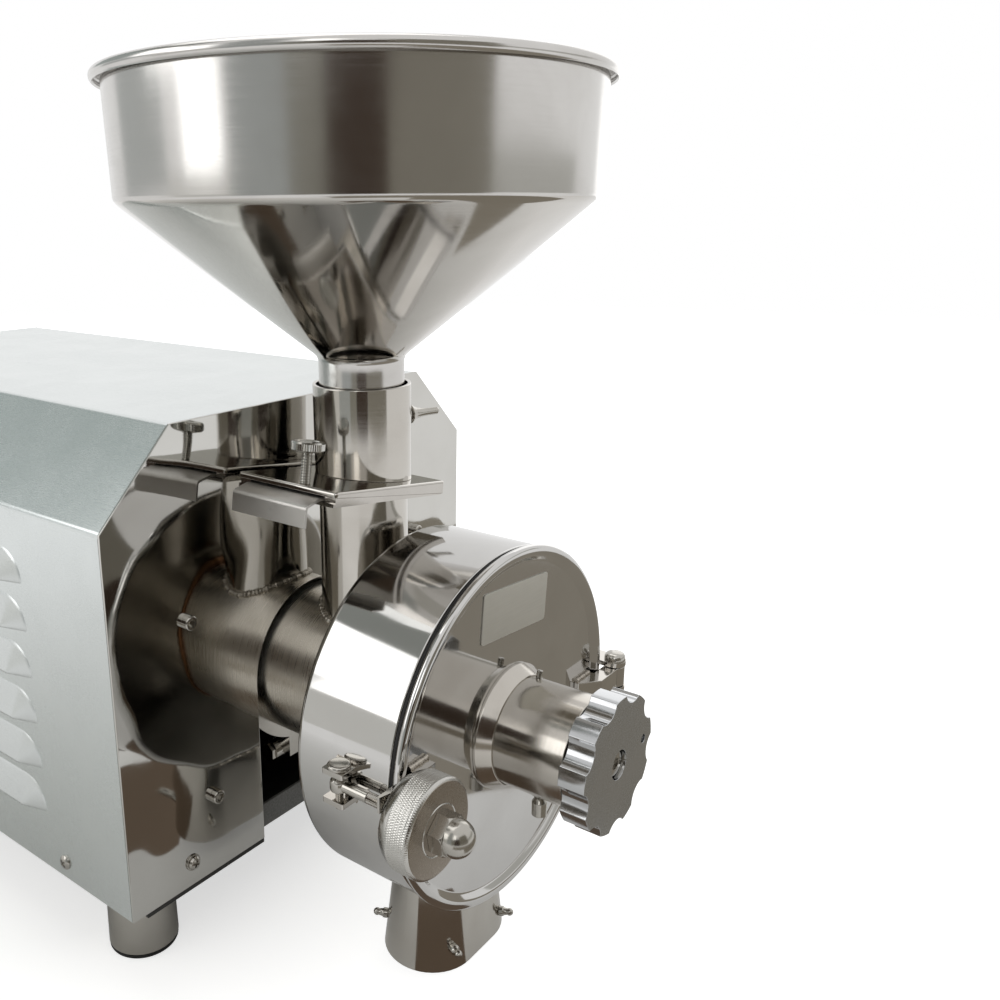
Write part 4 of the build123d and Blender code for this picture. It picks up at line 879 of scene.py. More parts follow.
thumb_line = (
    [(0, -4.1)] + threaded(3.2, 0.7, 1.5, -4.1, 17.0)
    + [(8.6, 17.3), (9.5, 18.1), (9.5, 21.6), (8.7, 22.5), (6.5, 22.5), (6.0, 22.2), (0, 22.2)]
)
thumb = lathe("knurled_thumb_screw", thumb_line, THUMB_SIDES, closed=False)
open_up(thumb)
pick("VERT", rim_groove)
bpy.ops.transform.resize(value=(0.97, 0.97, 1.0), center_override=(0, 0, 0))
clear()
stand(thumb, GATE @ at(*THUMB_PLACE))
fit(thumb, turned_wheel, "gate_screw", KNURLED, "thumb_screw", smooth=28)

# Hopper sleeve with its lock screw
SLEEVE, SLEEVE_BORE, SLEEVE_TOP = 28.3, 26.3, 348.0
LOCK_Z, LOCK_TURN = 326.0, radians(-20)
LOCK = frame_at((0, FEED_Y, LOCK_Z), (cos(LOCK_TURN), sin(LOCK_TURN), 0))
sleeve = lathe("welded_sleeve", tube_wall(SLEEVE_BORE, SLEEVE, GATE_Z, SLEEVE_TOP), MEDIUM)
tilt_end(sleeve, GATE_Z)
stand(sleeve, FEED)
break_edges(sleeve, 0.5, 3)
fit(sleeve, upright_tube, "machine", STEEL, "hopper_sleeve")

boss = lathe("lock_boss_ring", tube_wall(2.1, 4.5, 27.0, 31.5), SMALL)
break_edges(boss, 0.4)
stand(boss, LOCK)
fit(boss, fastener, "machine", STEEL, "lock_boss")
lock_line = (
    [(0, 25.1)] + threaded(2.0, 0.3, 0.8, 25.1, 31.6)
    + [(5.4, 31.9), (5.8, 32.3), (5.6, 32.9), (4.6, 34.4), (3.4, 36.9), (2.6, 40.5)]
    + [(2.3, 44), (2.2, 51.3), (1.6, 52.3), (0, 52.5)]
)
lock = lathe("lock_screw_handle", lock_line, SMALL, closed=False)
stand(lock, LOCK)
fit(lock, fastener, "hopper_screw", BRIGHT, "lock_screw", smooth=28)

# Hopper: neck, cone and wall in one line with a rolled rim
HOPPER_WALL, CONE_FOOT, CONE_TOP = 1.2, 361.0, 449.0
hopper_line = (
    [(24.5, 297.6), (24.5, 355.0), (24.5, CONE_FOOT), (25.4, 363.6), (27.2, 365.5)]
    + [(60.0, 391.8), (95.0, 419.9), (126.8, 445.45), (128.6, 447.1), (129.7, 448.7), (130.1, 450.6)]
    + [(130.6, 468.0), (131.2, 488.0), (131.8, 508.5)] + arc(133.9, 508.5, 2.1, 180, -60, 18)[1:]
)
hopper = lathe("spun_hopper", hopper_line, FINE, closed=False)
thicken(hopper, HOPPER_WALL, side=1.0 if faces_inwards(hopper) else -1.0)
stand(hopper, FEED)
fit(hopper, hopper_brushed, "hopper_bowl", SATIN, "hopper", smooth=40)
refinish(
    hopper, hopper_polished,
    lambda middle, normal: CONE_FOOT < middle.z < CONE_TOP and abs(normal.z) > 0.4,
)

# Grinding drum with its outlet
DRUM_ROUND = 5.0
CHUTE_LENGTH, CHUTE_WIDTH, CHUTE_CORNER, CHUTE_HEIGHT = 84.0, 57.0, 28.4, 70.0
CHUTE_END = CHUTE_LENGTH / 2 - CHUTE_CORNER
CHUTE = at(0, ahead(CHUTE_REACH), CHUTE_BOTTOM)
drum_section = (
    [(BARREL_BORE, DRUM_BACK)] + arc(DRUM - DRUM_ROUND, DRUM_BACK + DRUM_ROUND, DRUM_ROUND, -90, 0, 10)
    + [(DRUM, DRUM_FRONT), (DRUM_BORE, DRUM_FRONT), (DRUM_BORE, DRUM_FLOOR), (BARREL_BORE, DRUM_FLOOR)]
)
drum = lathe("polished_drum", drum_section, FINE)
break_edges(drum, 0.8, 3)
stand(drum, MILL)
outlet_hole = plate("hole", round_box(length=64, width=38, corner=18), 95.0)
stand(outlet_hole, CHUTE @ LYING)
cut(drum, outlet_hole)
fit(drum, drum_polished, "machine", STEEL, "drum_shell")
# The drum's back face takes the darker tone: painted shade in the gap to the panel
refinish(drum, drum_back_painted_shade, lambda middle, normal: normal.y > 0.9 and middle.y > ahead(DRUM_BACK + 0.1))

chute = plate("welded_outlet", round_box(CHUTE_LENGTH, CHUTE_WIDTH, CHUTE_CORNER), CHUTE_HEIGHT)
stand(chute, LYING)
open_up(chute)
pick("FACE", lambda middle, normal: abs(normal.z) > 0.9)
bpy.ops.mesh.delete(type="FACE")
narrowed = 1 - CHUTE_HEIGHT * CHUTE_FLARE / CHUTE_CORNER
for side in (-1, 1):
    pick("VERT", lambda place, along: place.z > CHUTE_HEIGHT - 1 and place.x * side > 0)
    bpy.ops.transform.resize(
        value=(narrowed, narrowed, 1), center_override=Vector((side * CHUTE_END, 0, CHUTE_HEIGHT)) * MM,
    )
close_up()
if faces_inwards(chute):
    chute.data.flip_normals()
thicken(chute, SHEET)
stand(chute, CHUTE)
trim_to_drum(chute)
break_edges(chute, 0.3, limit=50)
fit(chute, upright_tube, "machine", STEEL, "outlet_chute")

# The outlet's weld follows its outline up to the drum's round, in steps short enough to show the ripples
BEAD_STEP = 0.7
drawn_in = (AXIS_Z - DRUM - CHUTE_BOTTOM) * CHUTE_FLARE
outlet_edge = round_box(CHUTE_LENGTH - 2 * drawn_in, CHUTE_WIDTH - 2 * drawn_in, CHUTE_CORNER - drawn_in)
outlet_path = []
for k, corner in enumerate(outlet_edge):
    start, end = Vector(corner), Vector(outlet_edge[(k + 1) % len(outlet_edge)])
    steps = max(1, int((end - start).length / BEAD_STEP))
    for s in range(steps):
        x, y = start.lerp(end, s / steps)
        outlet_path.append((x, ahead(CHUTE_REACH) + y, AXIS_Z - sqrt(DRUM ** 2 - x ** 2) - 0.4))
fit(weld("outlet_weld", outlet_path, width=1.5), weld_metal, "machine", STEEL, smooth=50)

# Pins that hold the bag: the turn in degrees about the outlet's round end, which end, and the height
BAG_PINS = ((123, -1, 27.0), (245, -1, 24.0), (290, 1, 20.5), (60, 1, 24.0))
pin_line = (
    [(0, 0.0), (2.6, 0.0), (3.0, 0.4), (3.0, 2.6), (2.3, 3.4)]
    + [(1.9, 5.6), (2.3, 6.4), (2.1, 7.6), (1.2, 8.7), (0, 9.0)]
)
pin = lathe("pin", pin_line, TINY, closed=False)
pin_places = []
for turn, end, z in BAG_PINS:
    out = Vector((cos(radians(turn)), sin(radians(turn)), 0))
    radius = CHUTE_CORNER - (z - CHUTE_BOTTOM) * CHUTE_FLARE
    foot = Vector((end * CHUTE_END, ahead(CHUTE_REACH), z)) + out * radius
    pin_places.append(frame_at(foot, out + Vector((0, 0, CHUTE_FLARE))))
fit(repeat("bag_hook_pins", pin, pin_places), fastener, "machine", STEEL, "bag_pins", smooth=40)

# Door with its rolled bead, gasket, tube and collar
TUBE, TUBE_BORE, TUBE_SHOULDER, TUBE_END = 30.5, 26.08, 186.0, 196.0
SPINDLE_BORE = 8.05
door_section = (
    [(TUBE_BORE, 143.0), (TUBE_BORE, DOOR_FACE), (93.2, DOOR_FACE), (93.9, 146.2), (94.6, 146.7)]
    + [(96.7, 148.3), (97.5, 148.75), (98.4, 148.97), (99.4, 149.0)] + arc(100.4, 146.4, 2.6, 90, -62, 16)
    + [(101.0, 143.6), (98.6, 143.4), (98.6, 139.0), (96.2, 139.0), (96.2, 143.0)]
)
door = lathe("rolled_door", door_section, FINE)
break_edges(door, 0.35, limit=40)
stand(door, MILL)
fit(door, drum_polished, "door", STEEL, "door_cap")
gasket_section = [(98.9, 141.8), (101.0, 141.8), (101.2, 142.6), (101.0, 143.4), (98.9, 143.4)]
gasket = lathe("door_seal", gasket_section, FINE)
stand(gasket, MILL)
fit(gasket, rubber, "door", RUBBER, "door_gasket")
tube_section = [
    (TUBE_BORE, DOOR_FACE), (TUBE, DOOR_FACE), (TUBE, TUBE_END), (SPINDLE_BORE, TUBE_END),
    (SPINDLE_BORE, TUBE_SHOULDER), (TUBE_BORE, TUBE_SHOULDER),
]
tube = lathe("adjuster_sleeve", tube_section, MEDIUM)
break_edges(tube, 0.6, 3)
stand(tube, MILL)
fit(tube, lying_tube, "door", STEEL, "adjuster_tube")
collar_section = [(TUBE, DOOR_FACE), (36.0, DOOR_FACE), (36.0, 147.5), (31.2, 155.0), (TUBE, 155.0)]
collar = lathe("adjuster_collar_ring", collar_section, MEDIUM)
break_edges(collar, 0.25)
stand(collar, MILL)
fit(collar, lying_tube, "door", STEEL, "adjuster_collar")

TUBE_SCREW_REACH, PEG_REACH, PEG_TURN = 167.0, 158.5, radians(72)
screw_line = (
    [(0, 30.7), (5.2, 30.7), (5.5, 31.0), (5.5, 34.2), (5.0, 34.6)] + threaded(3.0, 0.4, 1.0, 34.6, 39.4)
    + [(4.0, 39.6), (4.2, 40.0), (4.2, 47.8), (3.4, 48.5), (0, 48.5)]
)
tube_screw = lathe("tube_screw", screw_line, SMALL, closed=False)
stand(tube_screw, frame_at((0, ahead(TUBE_SCREW_REACH), AXIS_Z), (0, 0, -1)))
peg = lathe("peg", [(0, 30.7), (1.7, 30.7), (1.7, 34.5), (1.4, 34.9), (0, 34.9)], TINY, closed=False)
stand(peg, frame_at((0, ahead(PEG_REACH), AXIS_Z), (cos(PEG_TURN), 0, sin(PEG_TURN))))
fit(join("tube_clamp_screws", tube_screw, peg), fastener, "door", BRIGHT, "tube_screws", smooth=28)

SIGN_X, SIGN_Z, SIGN_TURN, SIGN_SHEET = 3.0, 235.0, radians(5), 0.8
bare_sign = plate("bare_sign_plate", round_box(length=64, width=28, corner=2), -SIGN_SHEET)
stand(bare_sign, at(SIGN_X, ahead(DOOR_FACE), SIGN_Z) @ Matrix.Rotation(SIGN_TURN, 4, "Y"))
break_edges(bare_sign, 0.25)
fit(bare_sign, brushed_plate, "door", STEEL, "blank_plate")

# Star knob: lobes left between scallops, a hub recess with a screw
KNOB_RADIUS, KNOB_BACK, KNOB_FACE = 37.5, 198.0, 213.0
KNOB_LOBES, KNOB_TURN = 9, 11.0
SCALLOP, SCALLOP_RING = 10.0, 43.0
DIMPLE_PLACE = (27.8, 2.9, 0.0)
CUT_BACK, CUT_FRONT = 190.0, 220.0
knob = rod("nine_lobe_knob", KNOB_RADIUS, KNOB_BACK, KNOB_FACE, sides=24 * KNOB_LOBES)
for k in range(KNOB_LOBES):
    scallop = rod("scallop", SCALLOP, CUT_BACK, CUT_FRONT, SMALL)
    turn = radians(KNOB_TURN + (k + 0.5) * 360 / KNOB_LOBES)
    stand(scallop, at(SCALLOP_RING * cos(turn), SCALLOP_RING * sin(turn), 0))
    cut(knob, scallop)
cut(knob, rod("hub", SPINDLE_BORE, CUT_BACK, CUT_FRONT))
dimple = rod("dimple", 2.4, KNOB_FACE - 3.0, CUT_FRONT, TINY)
stand(dimple, at(*DIMPLE_PLACE))
cut(knob, dimple)
break_edges(knob, 1.1, 3, limit=25)
stand(knob, MILL)
fit(knob, ground_knob, "adjuster", KNOB, "star_knob")
refinish(knob, buffed_knob, lambda middle, normal: abs(normal.y) < 0.8)
hub_line = [(0, 211.0), (6.4, 211.0), (7.4, 210.2), (7.4, 208.0), (0, 208.0)]
hub_screw = lathe("knob_hub_screw", hub_line, SMALL, closed=False)
cut(hub_screw, rod("hex", 3.5, 208.9, 214.0, sides=6))
break_edges(hub_screw, 0.2)
stand(hub_screw, MILL)
fit(hub_screw, fastener, "adjuster", BRIGHT, "knob_screw")

# Hinge: two cheeks on the drum, a strap on the door and the bolt through them
STRAP_LOW, STRAP_HIGH = AXIS_Z - 16.0, AXIS_Z - 3.0
CHEEK, CHEEK_GAP = 3.0, 0.4
CHEEKS_LOW, CHEEKS_HIGH = STRAP_LOW - CHEEK_GAP - CHEEK, STRAP_HIGH + CHEEK_GAP + CHEEK


def knuckle(radius, start, end):
    """Corners round the hinge's axis, seen from above, between two angles in degrees."""
    return arc(HINGE_X, HINGE_REACH, radius, start, end, (end - start) // 15)


cheek_outline = (
    [(90.0, 118.0), (119.0, 126.0)] + knuckle(7.0, 0, 180) + [(105.0, 140.5), (90.0, 140.5)]
)
cheeks = join(
    "hinge_cheeks",
    lying_plate("hinge_cheek", cheek_outline, CHEEKS_LOW, CHEEKS_LOW + CHEEK),
    lying_plate("hinge_cheek", cheek_outline, CHEEKS_HIGH - CHEEK, CHEEKS_HIGH),
)
trim_to_drum(cheeks)
break_edges(cheeks, 0.4)
fit(cheeks, plate_polished, "machine", STEEL, "hinge_bracket")

strap_outline = (
    [(74.0, DOOR_FACE), (92.0, DOOR_FACE), (93.0, 149.5), (107.0, 149.5)] + knuckle(6.5, -45, 135)
    + [(107.0, 158.5), (86.0, 158.5), (74.0, 149.0)]
)
strap = lying_plate("hinge_leaf", strap_outline, STRAP_LOW, STRAP_HIGH)
break_edges(strap, 0.6)
fit(strap, plate_polished, "door", STEEL, "hinge_strap")

bolt_line = [
    (0, CHEEKS_LOW - 6), (5.6, CHEEKS_LOW - 6), (6.2, CHEEKS_LOW - 5.4), (6.2, CHEEKS_LOW),
    (4.0, CHEEKS_LOW), (4.0, CHEEKS_HIGH), (6.5, CHEEKS_HIGH), (6.6, CHEEKS_HIGH + 0.4),
    (6.4, CHEEKS_HIGH + 2.6), (5.6, CHEEKS_HIGH + 4.0), (4.0, CHEEKS_HIGH + 4.8), (0, CHEEKS_HIGH + 5.0),
]
hinge_bolt = lathe("hinge_bolt", bolt_line, SMALL, closed=False)
stand(hinge_bolt, at(HINGE_X, ahead(HINGE_REACH), 0))
fit(hinge_bolt, fastener, "machine", BRIGHT, "hinge_pin", smooth=40)

# Swing-bolt latch: two cheeks on the drum and a pivot
FORK, FORK_TIP = 6.6, -112.5
fork_outline = [(-90.0, 108.2), (FORK_TIP, 108.2), (FORK_TIP, 121.8), (-90.0, 121.8)]
fork = join(
    "latch_cheeks",
    lying_plate("latch_cheek", fork_outline, LATCH_Z - FORK - CHEEK, LATCH_Z - FORK),
    lying_plate("latch_cheek", fork_outline, LATCH_Z + FORK, LATCH_Z + FORK + CHEEK),
)
open_up(fork)
pick("EDGE", lambda middle, along: middle.x < FORK_TIP + 0.5 and abs(along.z) > 0.9)
bend(1.2, 3)
clear()
trim_to_drum(fork)
break_edges(fork, 0.35)
fit(fork, plate_polished, "machine", STEEL, "latch_bracket")

PIVOT_TOP, PIVOT_FOOT = LATCH_Z + FORK + CHEEK, LATCH_Z - 13.6
pivot_line = [
    (0, PIVOT_FOOT), (1.7, PIVOT_FOOT), (2.0, PIVOT_FOOT + 0.4), (2.0, PIVOT_TOP), (5.8, PIVOT_TOP),
    (6.0, PIVOT_TOP + 0.3), (6.0, PIVOT_TOP + 1.5), (5.5, PIVOT_TOP + 2.1), (4.6, PIVOT_TOP + 2.4),
    (0, PIVOT_TOP + 2.4),
]
pivot = lathe("latch_pivot", pivot_line, SMALL, closed=False)
stand(pivot, at(LATCH_X, ahead(LATCH_REACH), 0))
fit(pivot, fastener, "machine", BRIGHT, "latch_pin", smooth=40)

# The swing bolt, its spacer and the knurled wheel on it
LATCH_BORE = 3.05
eye_section = (
    [(2.05, -3.5), (3.6, -3.5), (4.4, -2.8), (4.8, -1.4)]
    + [(4.8, 1.4), (4.4, 2.8), (3.6, 3.5), (2.05, 3.5)]
)
eye = lathe("eye", eye_section, SMALL)
stand(eye, at(LATCH_X, ahead(LATCH_REACH), LATCH_Z))
shank_line = (
    [(0, 118.5), (3.0, 118.5), (3.0, 134.0)] + threaded(3.0, 0.4, 1.0, 134.0, 189.5)
    + [(2.4, 190.0), (0, 190.0)]
)
shank = lathe("shank", shank_line, SMALL, closed=False)
stand(shank, LATCH)
fit(join("swing_eye_bolt", shank, eye), fastener, "latch_bolt", STEEL, "swing_bolt", smooth=28)

spacer_section = (
    [(LATCH_BORE, 153.1), (7.6, 153.1), (8.0, 153.5)] + [(8.0, 155.8), (7.6, 156.2), (LATCH_BORE, 156.2)]
)
spacer = lathe("latch_spacer", spacer_section, 64)
stand(spacer, LATCH)
fit(spacer, fastener, "latch_follower", STEEL, "latch_collar")

WHEEL, WHEEL_BACK, WHEEL_FACE = 24.6, 156.5, 176.5
KNURL_COUNT, KNURL_PITCH, KNURL_DEPTH = 130, 1.25, 0.26
KNURL_LOW, KNURL_HIGH, KNURL_ROWS = 163.8, 174.9, 22
knurl_rows = [KNURL_LOW + (KNURL_HIGH - KNURL_LOW) * k / KNURL_ROWS for k in range(KNURL_ROWS + 1)]
wheel_section = (
    [(LATCH_BORE, WHEEL_BACK), (20.0, WHEEL_BACK), (20.6, 157.0), (22.6, 159.6), (24.1, 162.6)]
    + [(24.2, 163.4)] + [(WHEEL, z) for z in knurl_rows] + [(24.0, 175.7), (23.2, 176.3)]
    + [(22.6, WHEEL_FACE), (13.0, WHEEL_FACE), (12.6, 176.2), (12.2, WHEEL_FACE), (LATCH_BORE, WHEEL_FACE)]
)
wheel = lathe("knurled_latch_wheel", wheel_section, KNURL_COUNT * 5)
# Two sets of slanting grooves cross on the rim and leave its diamonds
for corner in wheel.data.vertices:
    radius, z = corner.co.xy.length / MM, corner.co.z / MM
    if radius > WHEEL - 0.1:
        turn = turn_of(corner.co) * KNURL_COUNT
        rise = (z - KNURL_LOW) / KNURL_PITCH / 2
        ridge = min(abs((turn + rise) % 1.0 - 0.5), abs((turn - rise) % 1.0 - 0.5)) * 2
        corner.co.xy *= 1 - KNURL_DEPTH / radius * (1 - min(1.0, ridge * 1.6))
stand(wheel, LATCH)
fit(wheel, turned_wheel, "latch_nut", KNURLED, "latch_wheel", smooth=25)
refinish(wheel, wheel_face, lambda middle, normal: normal.y < -0.9)

nut = rod("nut", 10.5, WHEEL_FACE, 184.5, sides=6, turn=radians(12))
chamfer_line = [(0, 174), (10.6, 174), (10.6, 183.2), (9.3, 185), (0, 185)]
cut(nut, lathe("chamfer", chamfer_line, SMALL, closed=False), "INTERSECT")
dome = lathe("dome", [(0, 184.0), (9.1, 184.0)] + arc(0, 186.0, 9.1, 0, 90, 14), SMALL, closed=False)
break_edges(nut, 0.25)
stand(nut, LATCH)
stand(dome, LATCH)
fit(join("domed_cap_nut", nut, dome), fastener, "latch_nut", BRIGHT, "dome_nut")

# Slotted lug on the door, with a bevelled tip and a foot
LUG_TOP, LUG_FOOT = LATCH_Z + 12.5, LATCH_Z - 12.5
LUG_BACK, LUG_FRONT, LUG_TIP, LUG_ROOT = 149.3, 152.8, -119.0, -78.0
LUG_SLOT = 4.0
lug = slab("slotted_lug", (LUG_TIP, ahead(LUG_FRONT), LUG_FOOT), (LUG_ROOT, ahead(LUG_BACK), LUG_TOP))
tip_wedge = [(-110.0, LUG_FRONT), (-119.5, 150.69), (-119.5, 153.5), (-110.0, 153.5)]
cut(lug, lying_plate("wedge", tip_wedge, LUG_FOOT - 1, LUG_TOP + 1))
slot = slab(
    "slot", (-140.0, ahead(160), LATCH_Z - LUG_SLOT), (LATCH_X + LUG_SLOT, ahead(140), LATCH_Z + LUG_SLOT),
)
cut(lug, slot)
lug_foot = slab("foot", (-92.0, ahead(149.5), LUG_FOOT), (LUG_ROOT, ahead(DOOR_FACE), LUG_TOP))
cut(lug, lug_foot, "UNION")
break_edges(lug, 0.5)
fit(lug, plate_polished, "door", STEEL, "latch_lug")


# Short welds of hinge and latch

def seam(start, end, count=24):
    """Places in mm along a straight seam."""
    return [Vector(start).lerp(Vector(end), k / count) for k in range(count + 1)]


def on_door(left, right, reach, z):
    """A level seam across the door."""
    return seam((left, ahead(reach), z), (right, ahead(reach), z))


def on_drum(side, back, front, z):
    """A straight seam along the drum's side at a height."""
    x = side * sqrt(DRUM ** 2 - (z - AXIS_Z) ** 2)
    return seam((x, ahead(back), z), (x, ahead(front), z))


door_seams = [
    on_door(-92.0, -77.5, 147.0, LUG_TOP + 0.6), on_door(-92.0, -77.5, 147.0, LUG_FOOT - 0.6),
    on_door(75.0, 91.0, 146.8, STRAP_HIGH + 0.5), on_door(75.0, 91.0, 146.8, STRAP_LOW - 0.5),
]
beads = [weld("seam", path, width=1.5, ripple=1.8, closed=False) for path in door_seams]
fit(join("door_seam_welds", *beads), weld_metal, "door", STEEL, smooth=50)
drum_seams = [
    on_drum(-1, 108.5, 121.5, LATCH_Z + 10.0), on_drum(-1, 108.5, 121.5, LATCH_Z - 10.0),
    on_drum(1, 120.0, 140.0, STRAP_HIGH + 3.8), on_drum(1, 120.0, 140.0, STRAP_LOW - 3.8),
]
beads = [weld("seam", path, width=1.2, ripple=1.8, closed=False) for path in drum_seams]
fit(join("drum_seam_welds", *beads), weld_metal, "machine", STEEL, smooth=50)

# CAD nodes that keep their shape take a finish
machined_nodes = (
    "motor_shaft", "rotor_core", "feed_auger", "runner_hub", "stone_carrier", "adjuster_spindle",
    "motor_bearings",
)
for finish, names in (
    (plate_polished, ("gate_seat",)),
    (cover_polished, ("rear_panel",)),
    (black_paint, ("base_plate", "panel_stiffener")),
    (casting_paint, ("motor_frame", "motor_front_bell", "motor_rear_bell")),
    (machined, machined_nodes),
    (fastener, ("clamp_bolt", "shaft_nut", "barrel_clamp")),
    (emery_stone, ("runner_stone", "bed_stone")),
    (black_moulding, ("switch_body", "cable_gland", "cooling_fan")),
    (red_moulding, ("switch_rocker",)),
):
    for name in names:
        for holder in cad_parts[name].material_slots:
            holder.material = finish


# Stage: pale floor, white room, soft lamps and cards for the metal to reflect, in metres

def seen_by(tree, *rays):
    """1 for a ray of one of these kinds, and 0 for the others."""
    path = add(tree, "ShaderNodeLightPath")
    seen = path.outputs[rays[0]]
    for kind in rays[1:]:
        seen = add(tree, "ShaderNodeMath", {0: seen, 1: path.outputs[kind]}, operation="MAXIMUM").outputs[0]
    return seen


# The room looks white, and lights the mill at less than half of that.
ROOM_LIGHT = 0.45
world = bpy.data.worlds.new("white_room")
bpy.context.scene.world = world
world.use_nodes = True
tree = world.node_tree
tree.nodes.clear()
seen = seen_by(tree, "Is Camera Ray", "Is Glossy Ray", "Is Transmission Ray")
strength = add(tree, "ShaderNodeMath", {0: seen, 1: 1 - ROOM_LIGHT, 2: ROOM_LIGHT}, operation="MULTIPLY_ADD")
room = add(tree, "ShaderNodeBackground", {"Color": (1, 1, 1, 1), "Strength": strength.outputs[0]})
add(tree, "ShaderNodeOutputWorld", {"Surface": room.outputs[0]})

# The floor fades to white with its distance, for the camera and the metal. The camera also sees it paler.
FLOOR_RADIUS, FLOOR_Z = 4.0, -0.0002
FADE_MIDDLE, FADE_START, FADE_END = (-0.03, 0.12, 0), 0.2, 0.75
FLOOR_GLOW = 0.6
floor_paper, tree, output, place = blank("pale_floor_paper")
seen = seen_by(tree, "Is Camera Ray", "Is Glossy Ray")
away = add(tree, "ShaderNodeVectorMath", {0: place, 1: FADE_MIDDLE}, operation="DISTANCE")
far = add(
    tree, "ShaderNodeMapRange",
    {"Value": away.outputs["Value"], "From Min": FADE_START, "From Max": FADE_END},
)
distant = add(tree, "ShaderNodeMath", {0: far.outputs[0], 1: seen}, operation="MULTIPLY")
paper = add(tree, "ShaderNodeBsdfDiffuse", {"Color": hex_colour("#e0e0dc")})
white = add(tree, "ShaderNodeEmission", {"Color": (1, 1, 1, 1), "Strength": 1.0})
faded = add(tree, "ShaderNodeMixShader", {0: distant.outputs[0], 1: paper.outputs[0], 2: white.outputs[0]})
on_camera = seen_by(tree, "Is Camera Ray")
own_white = add(tree, "ShaderNodeMath", {0: on_camera, 1: FLOOR_GLOW}, operation="MULTIPLY")
glow = add(tree, "ShaderNodeEmission", {"Color": (1, 1, 1, 1), "Strength": own_white.outputs[0]})
summed = add(tree, "ShaderNodeAddShader", {0: faded.outputs[0], 1: glow.outputs[0]})
tree.links.new(summed.outputs[0], output.inputs["Surface"])
clear()
bpy.ops.mesh.primitive_circle_add(
    vertices=96, radius=FLOOR_RADIUS, fill_type="NGON", location=(0, 0, FLOOR_Z),
)
floor = bpy.context.object
floor.name = "floor"
floor.data.materials.append(floor_paper)

CARD_DISTANCE, CARDS_Y = 1.38, -0.17


def hang(screen, colour):
    """Makes a piece of stage card that only the metal's reflections show."""
    paint, shade, output = blank(screen.name)[:3]
    surface = add(shade, "ShaderNodeEmission", {"Color": hex_colour(colour), "Strength": 1.0})
    shade.links.new(surface.outputs[0], output.inputs["Surface"])
    screen.data.materials.append(paint)
    screen.visible_camera = False
    screen.visible_shadow = False
    screen.visible_diffuse = False


def card(name, colour, start, end, low, high):
    """An upright card facing the mill, between two azimuths in degrees and two heights."""
    azimuth = radians(start + end) / 2
    middle = Vector((
        sin(azimuth) * CARD_DISTANCE, CARDS_Y - cos(azimuth) * CARD_DISTANCE, (low + high) / 2,
    ))
    clear()
    bpy.ops.mesh.primitive_plane_add(size=1, location=middle, rotation=(radians(90), 0, azimuth))
    screen = bpy.context.object
    screen.name = name
    screen.scale = (2 * CARD_DISTANCE * tan(radians(end - start) / 2), high - low, 1)
    hang(screen, colour)


def mat(name, colour, corners):
    """A piece of card lying on the floor, with its corners in mm."""
    sheet = draw(name, [(x, -y) for x, y in corners])
    bpy.ops.mesh.edge_face_add()
    close_up()
    stand(sheet, at(0, 0, 1) @ LYING)
    hang(sheet, colour)


# Cards from behind the mill, round its left, to its front and right, and two mats on the floor
card("side_card", "#c2c6c5", -172, -137, 0.40, 0.68)
card("back_card", "#aab2b0", -186, -150, 0.72, 1.5)
card("upper_card", "#989b97", -178, -126, 1.5, 2.7)
card("sill_card", "#e0e0dc", -137, -103, 0.0, 0.43)
card("left_card", "#aeb2b1", -103, -77, 0.0, 2.0)
card("dim_card", "#8f8d84", -77, -62, 0.0, 0.68)
card("dark_card", "#453a32", -62, -37, 0.0, 0.80)
card("grey_card", "#8b877d", -37, 8, 0.0, 1.2)
card("low_card", "#c4c4bf", 8, 60, 0.2, 0.49)
brown_mat = [
    (-41, -241), (-155, -240), (-150, -290), (-122, -333), (-86, -359), (-43, -371), (0, -369),
    (44, -345), (-17, -261),
]
mat("brown_mat", "#675a4e", brown_mat)
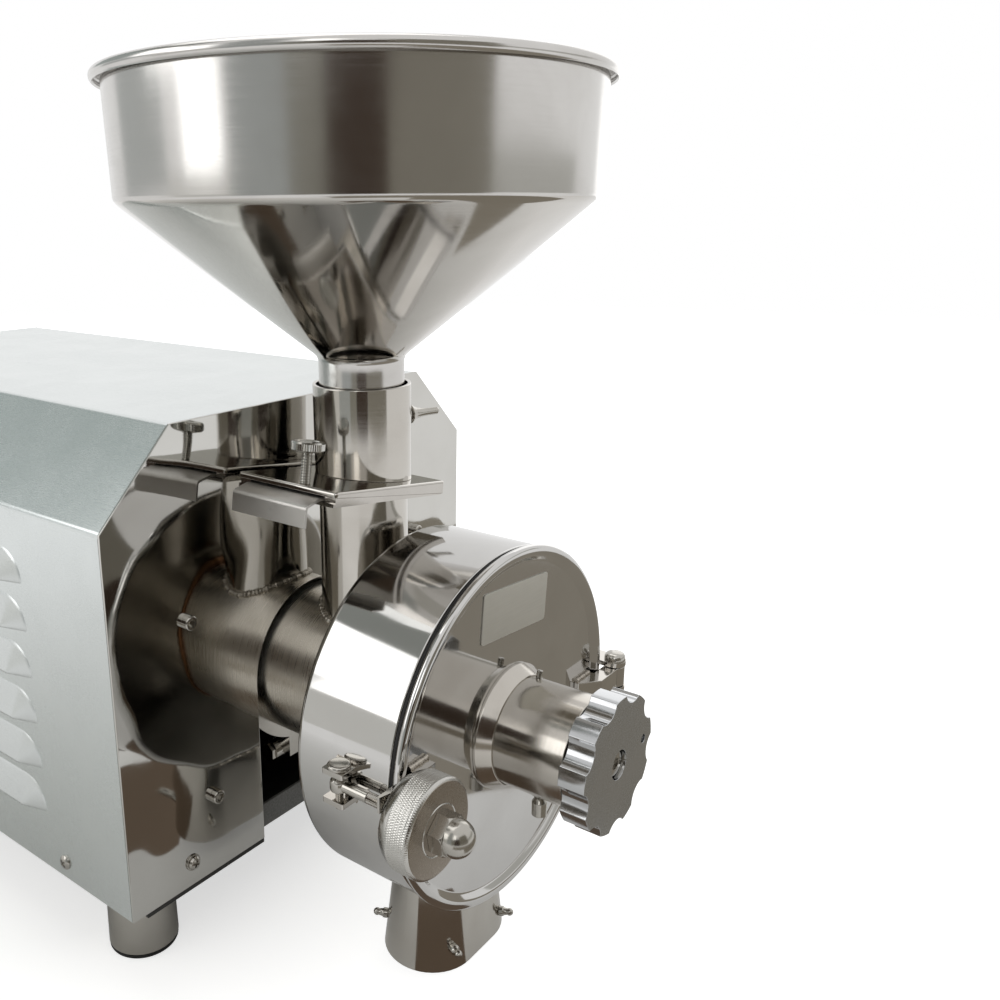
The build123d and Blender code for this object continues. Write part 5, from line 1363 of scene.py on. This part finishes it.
# The front mat's edge, as arcs about the mill: reach in mm, and the azimuths' start, end and step
FRONT_MAT_ARCS = ((450, -62, -20, 3), (270, -20, 73, 3), (800, 73, -63, -3))
front_mat = [
    (reach * sin(radians(azimuth)), CARDS_Y / MM - reach * cos(radians(azimuth)))
    for reach, start, end, step in FRONT_MAT_ARCS
    for azimuth in range(start, end, step)
]
mat("front_mat", "#958f84", front_mat)


def lamp(name, place, aim, size, power):
    """A soft rectangular lamp that looks from its place to its aim."""
    light = bpy.data.lights.new(name, "AREA")
    light.shape = "RECTANGLE"
    light.size, light.size_y = size
    light.energy = power
    holder = bpy.data.objects.new(name, light)
    bpy.context.scene.collection.objects.link(holder)
    holder.location = place
    holder.rotation_euler = (Vector(aim) - Vector(place)).to_track_quat("-Z", "Y").to_euler()


lamp("left_window", (-1.24, 0.435, 0.785), (0, -0.17, 0.785), (0.487, 0.73), 1.6)
lamp("high_window", (-0.959, 0.823, 1.04), (0, -0.17, 1.04), (0.487, 0.85), 1.9)
lamp("front_softbox", (-1.23, -0.82, 1.08), (0, -0.3, 0.3), (0.32, 0.55), 0.9)
lamp("top_softbox", (0.1, 0.4, 2.1), (0, -0.1, 0.2), (1.8, 1.4), 9.0)
lamp("right_softbox", (1.70, 0.13, 0.8), (0, -0.17, 0.3), (1.0, 1.4), 2.8)

# Camera at the photograph's view, for a 1000 x 1000 image, with its place in mm
AZIMUTH, ELEVATION, ROLL = radians(-50.634), radians(15.504), radians(-0.595)
EYE = (-430.2, -542.6, 444.7)
right = Vector((cos(AZIMUTH), sin(AZIMUTH), 0))
back = Vector((sin(AZIMUTH) * cos(ELEVATION), -cos(AZIMUTH) * cos(ELEVATION), sin(ELEVATION)))
up = back.cross(right)
right, up = cos(ROLL) * right + sin(ROLL) * up, cos(ROLL) * up - sin(ROLL) * right
lens = bpy.data.cameras.new("photo_view")
lens.sensor_width = 36.0
lens.lens = 36.016
lens.shift_x = 0.114
lens.shift_y = -0.0159
lens.clip_start = 0.01
camera = bpy.data.objects.new("photo_view", lens)
bpy.context.scene.collection.objects.link(camera)
camera.matrix_world = at(*EYE) @ Matrix((right, up, back)).transposed().to_4x4()
bpy.context.scene.camera = camera
bpy.context.scene.view_settings.view_transform = "Standard"
